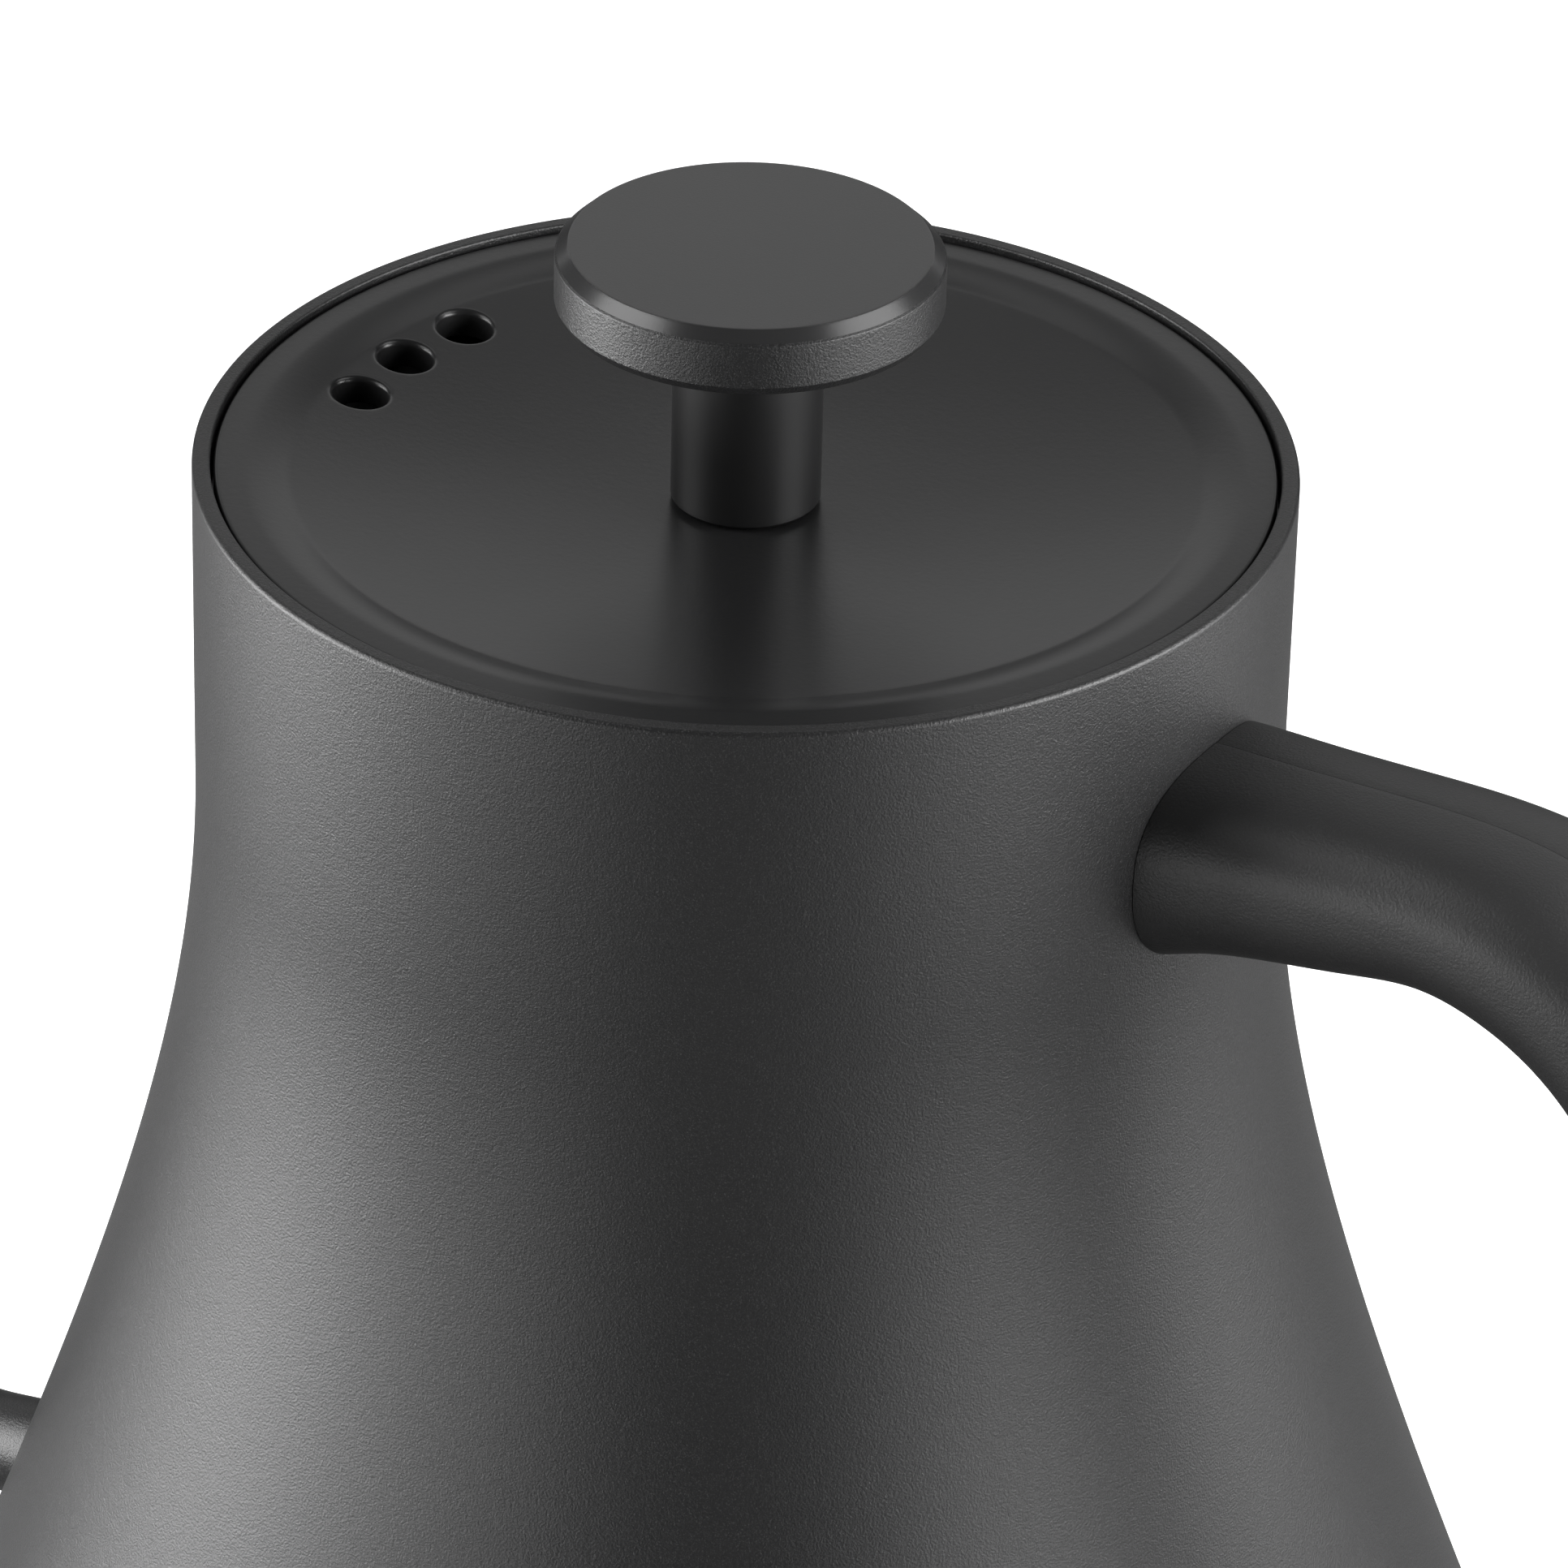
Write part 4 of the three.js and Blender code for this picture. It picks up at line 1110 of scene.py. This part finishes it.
# ---- the power base ----
@dataclass
class PowerBase:
    """The base: a round deck drawn out into a nose that carries the dial."""

    deck: float = 0.077
    nose_x: float = 0.092
    nose: float = 0.028
    top: float = 0.022
    floor: float = 0.0022
    wall: float = 0.0022
    dial_x: float = 0.098
    boss: float = 0.0152
    boss_top: float = 0.0325
    grooves: tuple[tuple[float, float], ...] = ((0.0059, 0.0081), (0.0104, 0.0126))
    window: tuple[float, float] = (0.036, 0.010)
    cord_z: float = 0.0116
    cord_hole: float = 0.004

    def lean(self) -> float:
        """The bearing of the points where the straight sides touch the two arcs."""
        return float(np.arccos((self.deck - self.nose) / self.nose_x))

    def egg(self, outline: Array, caps: tuple[int, int] = (8, 8)) -> Array:
        """Carries a section round the base's outline: two arcs and the lines tangent to both.

        Every point of the outline has a centre, which moves from the deck's to the nose's along the
        straight sides, and a radius. A section's inset is taken off the radius. The first and last
        points of the section are drawn in to the centres, which closes the surface.

        Args:
            outline: the section's insets and heights, (n, 2).
            caps: how many steps close it at its start and at its end.

        Returns:
            A grid (points round, points of the section, 3).
        """
        lean = self.lean()
        bearing = np.concatenate([np.linspace(lean, 2 * np.pi - lean, 150), np.full(30, -lean),
                                  np.linspace(-lean, lean, 60), np.full(30, lean)])
        along = np.concatenate([np.zeros(150), np.linspace(0, 1, 32)[1:-1], np.ones(60),
                                np.linspace(1, 0, 32)[1:-1]])
        radius = self.deck + (self.nose - self.deck) * along
        reach = radius[:, None] - outline[None, :, 0]
        first = reach[:, :1] * np.linspace(0.0, 1.0, caps[0], endpoint=False)[None, :]
        last = reach[:, -1:] * np.linspace(1.0, 0.0, caps[1] + 1)[None, 1:]
        reach = np.concatenate([first, reach, last], axis=1)
        height = np.concatenate([np.full(caps[0], outline[0, 1]), outline[:, 1],
                                 np.full(caps[1], outline[-1, 1])])
        x = self.nose_x * along[:, None] + reach * np.cos(bearing)[:, None]
        y = reach * np.sin(bearing)[:, None]
        return np.stack([x, y, np.broadcast_to(height, reach.shape)], axis=-1)

    def front(self) -> Matrix:
        """The place of the flat side that carries the display: x along it, -y out of it."""
        lean = self.lean()
        out = self.deck + self.nose
        middle = ((self.nose_x + out * np.cos(lean)) / 2, -out * np.sin(lean) / 2, 0.0124)
        return Matrix.Translation(middle) @ Matrix.Rotation(np.pi / 2 - lean, 4, "Z")

    def toward_cord(self) -> Matrix:
        """Lays an upright piece down, so that its top points out of the cord's side."""
        return Matrix.Translation((0, 0, self.cord_z)) @ Matrix.Rotation(-np.pi / 2, 4, "X")

    def pane(self, name: str, width: float, height: float, deep: float, corner: float,
             out: float) -> bpy.types.Object:
        """A rounded rectangular slab on the display's side.

        Args:
            name: the piece's name.
            width: its width.
            height: its height.
            deep: its thickness.
            corner: the radius of its corners.
            out: how far its middle lies inside the side's face.

        Returns:
            The new object.
        """
        bearing = np.linspace(0, 2 * np.pi, 96, endpoint=False)
        reach = np.array([[width / 2 - corner, height / 2 - corner]])
        outward = np.column_stack([np.cos(bearing), np.sin(bearing)])
        corner_at = np.sign(np.where(np.abs(outward) < 1e-9, 1.0, outward)) * reach
        half = deep / 2
        section = filleted([(1.0, -half, 0), (0.0, -half, 0.00015), (0.0, half, 0.00015),
                            (1.0, half, 0)], closed=False, steps=3, support=0.0001)[1:-1]
        section[:, 0] = np.clip(section[:, 0], 0.0, 0.0003)
        ring = corner_at[:, None, :] + outward[:, None, :] * (corner - section[None, :, 0, None])
        depth = np.broadcast_to(section[None, :, 1], ring.shape[:2])
        grid = np.stack([ring[..., 0], depth, ring[..., 1]], axis=-1)
        middle = grid * (0.0, 1.0, 0.0)
        closed = np.concatenate([middle[:, :1], grid, middle[:, -1:]], axis=1)
        made = Form().grid(closed, around=True).piece(name)
        made.data.transform(self.front() @ Matrix.Translation((0, out, 0)))
        return made

    def cover(self) -> None:
        """Makes the top cover, with its holes and the display's frame."""
        section = filleted([
            (0.03, self.top - self.wall, 0), (self.wall, self.top - self.wall, 0.0015),
            (self.wall, self.floor, 0.0001), (0.0, self.floor, 0.0006), (0.0, self.top, 0.0028),
            (0.03, self.top, 0)], closed=False, steps=8)[1:-1]
        section = section[section[:, 0] < 0.026]
        cover = Form().grid(self.egg(section), around=True).piece("base_housing")
        gland = drill(self.cord_hole + 0.0024, 0.06, 0.09, sides=96)
        gland.data.transform(self.toward_cord())
        sunk, clear = self.top - 0.0006, self.top + 0.002
        dish = turned_piece("drill", [(0, sunk, 0), (0.0236, sunk, 0.0005), (0.0242, clear, 0),
                                      (0, clear, 0)], 160)
        connector = drill(self.boss + 0.0006, 0.01, 0.03, sides=96)
        stem = drill(0.0036, 0.01, 0.03, (self.dial_x, 0.0), 96)
        width, height = self.window
        frame_hole = self.pane("drill", width + 0.0004, height + 0.0004, 0.0085, 0.0022, 0.0)
        carve(cover, connector, stem, gland, dish, frame_hole)
        dress(cover, Body.BASE, Slot.BLACK_PLASTIC, ["base_cover"])

    def build(self) -> None:
        """Makes the base's visible pieces."""
        self.cover()
        inset = self.wall + 0.0004
        plate = filleted([(inset + 0.01, self.floor, 0), (inset, self.floor, 0.0004),
                          (inset, 0.0044, 0.0002), (inset + 0.01, 0.0044, 0)],
                         closed=False, steps=3)[1:-1]
        bottom = Form().grid(self.egg(plate), around=True).piece("base_floor")
        drills = []
        for k in range(4):
            drills.append(screw_drill(0.0, 0.0036, 0.008, spot_of(f"base_screw_{k + 1}")))
        carve(bottom, *drills)
        dress(bottom, Body.BASE, Slot.BLACK_PLASTIC, ["base_plate"])
        for k in range(4):
            foot = f"base_foot_{k + 1}"
            high = height_of(foot)[1]
            pad = [(0, 0, 0), (0.006, 0, 0.0006), (0.006, high, 0.0001), (0, high, 0)]
            dress(turned_piece(f"foot_pad_{k + 1}", pad, 64, spot_of(foot)), Body.BASE, Slot.RUBBER,
                  [foot])
        under = self.top - self.wall - 0.0003
        section = [(0, 0.012, 0), (0.022, 0.012, 0.0003), (0.022, under, 0.0003),
                   (self.boss, under, 0), (self.boss, self.boss_top, 0.001)]
        for inner, outer in reversed(self.grooves):
            section += [(outer, self.boss_top, 0.0003), (outer, 0.022, 0), (inner, 0.022, 0),
                        (inner, self.boss_top, 0.0003)]
        section += [(0.0028, self.boss_top, 0.0005), (0.0028, 0.022, 0), (0, 0.022, 0)]
        dress(turned_piece("connector_boss", section, 128, steps=4), Body.BASE, Slot.BLACK_PLASTIC,
              ["base_connector"])
        hole, y = self.cord_hole, self.deck
        gland = turned_piece("cord_grommet", [
            (hole, y - 0.005, 0.0002), (hole + 0.0029, y - 0.005, 0.0003),
            (hole + 0.0029, y - 0.0034, 0.0002), (hole + 0.002, y - 0.0034, 0),
            (hole + 0.002, y + 0.002, 0.0009), (hole, y + 0.002, 0.0004)], 64)
        gland.data.transform(self.toward_cord())
        dress(gland, Body.BASE, Slot.RUBBER, ["cord_gland"])
        pane = self.pane("display_pane", self.window[0], self.window[1], 0.0009, 0.002, 0.00055)
        dress(pane, Body.BASE, Slot.SMOKED_WINDOW, ["display_window"])
        low, high = height_of("swivel_collar")
        collar = [(self.boss + 0.0006, low, 0.0002), (0.0194, low, 0.0002), (0.0194, high, 0.0006),
                  (self.boss + 0.0006, high, 0.0004)]
        dress(turned_piece("glide_collar", collar, 128), Body.COLLAR, Slot.SLIP_RING,
              ["swivel_collar"])


@dataclass
class Dial:
    """The dial: a ribbed cap on a plunger."""

    x: float = 0.098
    radius: float = 0.012
    ribs: int = 60
    rib_depth: float = 0.00022

    def build(self) -> None:
        """Makes the cap. Round the side its radius dips once for each rib, by a raised cosine."""
        low, high = height_of("dial_knob")
        outer, inner = self.radius, self.radius - 0.0016
        section = filleted([
            (0, high - 0.0014, 0), (0.0021, high - 0.0014, 0), (0.0021, low + 0.0002, 0),
            (0.0042, low + 0.0002, 0.0003), (0.0042, low + 0.0028, 0.0003),
            (inner, low + 0.0028, 0.0003), (inner, low, 0.0002), (outer, low, 0.0003),
            (outer, high, 0.0009), (outer - 0.0024, high - 0.0002, 0.0004), (0, high - 0.0003, 0),
        ], closed=False, steps=6, support=0.0002)
        grid = spun(section, self.ribs * 8)
        angle = np.arctan2(grid[..., 1], grid[..., 0])
        distance = np.hypot(grid[..., 0], grid[..., 1])
        side = (distance > self.radius - 0.00015) * (grid[..., 2] < high - 0.0011)
        dip = self.rib_depth * (0.5 - 0.5 * np.cos(self.ribs * angle)) * side
        grid[..., :2] *= (1.0 - dip / np.maximum(distance, 1e-6))[..., None]
        grid[..., 0] += self.x
        cap = Form().grid(grid, around=True).piece("dial_cap", sharp=50.0)
        dress(cap, Body.DIAL, Slot.BLACK_PLASTIC, ["dial_knob"])


def finish_frame_nodes() -> None:
    """Gives every node that still shows the finish of its slot."""
    slot_of = {row["node"]: Slot(row["material_slot"]) for row in frame["record"]["subparts"]}
    for name, node in frame["nodes"].items():
        node.data.materials.clear()
        node.data.materials.append(SLOT_FINISH[slot_of[name]].material())


# ---- the studio ----
@dataclass(frozen=True)
class Panel:
    """A soft panel of light, upright, that faces the jug's axis."""

    name: str
    bearing: float  # degrees round from the camera's side, positive to its right
    away: float  # from the axis
    low: float
    high: float
    width: float
    radiance: float


@dataclass
class Studio:
    """The floor, the lights and the camera."""

    azimuth: float = 32.5  # degrees, of the camera round the jug, from -Y towards +X
    elevation: float = 28.416
    distance: float = 0.8  # from the rim's centre
    yaw: float = 0.2811
    pitch: float = -2.0447
    roll: float = 1.2942
    lens: float = 210.5  # millimetres, on a 36 mm sensor
    floor_size: float = 12.0
    floor_lift: float = 0.85  # how much paler than its light the floor is seen
    panels: tuple[Panel, ...] = (
        Panel("left low", -90, 0.42, 0.005, 0.15, 0.31, 14.0),
        Panel("left", -90, 0.42, 0.15, 0.38, 0.31, 10.0),
        Panel("left front", -50, 0.42, 0.005, 0.15, 0.31, 4.6),
        Panel("left high", -85, 0.5, 0.48, 0.9, 0.45, 4.6),
        Panel("left back", -120, 0.42, 0.005, 0.15, 0.15, 1.6),
        Panel("right front", 50, 0.42, 0.005, 0.15, 0.31, 5.1),
        Panel("right", 70, 0.42, 0.15, 0.38, 0.31, 16.0),
        Panel("right low", 90, 0.42, 0.005, 0.15, 0.31, 5.0),
        Panel("right high", 85, 0.5, 0.48, 0.9, 0.45, 4.2),
        Panel("back", 180, 1.2, 0.38, 0.92, 1.9, 0.84),
        Panel("back high", 180, 1.2, 1.37, 2.25, 1.9, 1.3),
    )

    def toward(self, bearing: float) -> Array:
        """The level direction at a bearing from the camera's side, positive to its right."""
        angle = np.radians(self.azimuth + bearing)
        return np.array([np.sin(angle), -np.cos(angle), 0.0])

    @staticmethod
    def turned(vector: Array, aim: Array, degrees: float) -> Array:
        """A direction turned by an angle towards another that is square to it."""
        angle = np.radians(degrees)
        return vector * np.cos(angle) + aim * np.sin(angle)

    def camera(self) -> None:
        """Places the camera: it looks at the rim's centre, then turns by yaw, pitch and roll."""
        rise = np.radians(self.elevation)
        offset = self.distance * (self.toward(0.0) * np.cos(rise) + np.array([0, 0, np.sin(rise)]))
        forward = -offset / self.distance
        right = np.cross(forward, (0, 0, 1))
        right /= np.linalg.norm(right)
        up = np.cross(right, forward)
        forward = self.turned(forward, right, self.yaw)
        right = np.cross(forward, up)
        forward = self.turned(forward, up, self.pitch)
        up = np.cross(right, forward)
        right = self.turned(right, up, self.roll)
        up = np.cross(right, forward)
        lens = bpy.data.cameras.new("camera")
        lens.lens, lens.sensor_width, lens.sensor_fit = self.lens, 36.0, "HORIZONTAL"
        eye = bpy.data.objects.new("camera", lens)
        place = np.eye(4)
        place[:3, 0], place[:3, 1], place[:3, 2] = right, up, -forward
        place[:3, 3] = offset + (0, 0, RIM_Z)
        eye.matrix_world = Matrix(place.tolist())
        bpy.context.scene.collection.objects.link(eye)
        bpy.context.scene.camera = eye

    def panel(self, panel: Panel) -> None:
        """Adds a soft panel that stands upright and faces the jug's axis."""
        tall = panel.high - panel.low
        light = bpy.data.lights.new(panel.name, "AREA")
        light.shape, light.size, light.size_y = "RECTANGLE", panel.width, tall
        light.energy = np.pi * panel.width * tall * panel.radiance
        lamp = bpy.data.objects.new(panel.name, light)
        facing = self.toward(panel.bearing)
        place = np.eye(4)
        place[:3, 0], place[:3, 1], place[:3, 2] = np.cross((0, 0, 1), facing), (0, 0, 1), facing
        place[:3, 3] = facing * panel.away + (0, 0, panel.low + tall / 2)
        lamp.matrix_world = Matrix(place.tolist())
        lamp.visible_camera = False
        bpy.context.scene.collection.objects.link(lamp)

    def floor(self) -> None:
        """Lays the pale floor, which the camera sees paler than the kettle does."""
        half = self.floor_size / 2
        line = np.linspace(-half, half, 3)
        x, y = np.meshgrid(line, line)
        mesh = bpy.data.meshes.new("floor")
        corners = np.stack([x, y, np.zeros_like(x)], axis=-1).reshape(-1, 3)
        index = np.arange(9).reshape(3, 3)
        quads = np.stack([index[:-1, :-1], index[:-1, 1:], index[1:, 1:], index[1:, :-1]], axis=-1)
        mesh.from_pydata(corners, [], quads.reshape(-1, 4).tolist())
        floor = bpy.data.objects.new("floor", mesh)
        pale = bpy.data.materials.new("pale floor")
        pale.use_nodes = True
        shader = pale.node_tree.nodes["Principled BSDF"]
        shader.inputs["Base Color"].default_value = (0.7, 0.7, 0.7, 1.0)
        shader.inputs["Roughness"].default_value = 0.9
        shader.inputs["Specular IOR Level"].default_value = 0.1
        sheet = NodeSheet(pale.node_tree)
        lifted = sheet.add("AddShader")
        sheet.link(shader.outputs[0], lifted.inputs[0])
        sheet.link(sheet.add("Emission", Strength=self.floor_lift).outputs[0], lifted.inputs[1])
        dim = sheet.add("BsdfDiffuse", Color=(0.22, 0.22, 0.22, 1.0))
        end = pale.node_tree.nodes["Material Output"].inputs["Surface"]
        shade_by_ray(sheet, dim, lifted, end)
        mesh.materials.append(pale)
        bpy.context.scene.collection.objects.link(floor)

    def surroundings(self) -> None:
        """Fills the room with a weak even light, and shows it pale behind the floor."""
        world = bpy.data.worlds.new("room")
        world.use_nodes = True
        sheet = NodeSheet(world.node_tree)
        fill = world.node_tree.nodes["Background"]
        fill.inputs["Color"].default_value = (1.0, 1.0, 1.0, 1.0)
        fill.inputs["Strength"].default_value = 0.01
        seen = sheet.add("Background", Color=(1.0, 1.0, 1.0, 1.0), Strength=1.0)
        shade_by_ray(sheet, fill, seen, world.node_tree.nodes["World Output"].inputs["Surface"])
        bpy.context.scene.world = world

    def build(self) -> None:
        """Makes the studio."""
        self.camera()
        self.floor()
        self.surroundings()
        for panel in self.panels:
            self.panel(panel)
        bpy.context.scene.view_settings.view_transform = "Standard"


def main() -> None:
    """Builds the studio and every visible piece."""
    logging.basicConfig(level=logging.INFO, format="%(message)s")
    Studio().build()
    wall = Wall()
    finish_frame_nodes()
    for part in (wall, Spout(wall), Handle(wall), Lid(), JugBottom(wall), PowerBase(), Dial()):
        part.build()


if __name__ == "__main__":
    main()
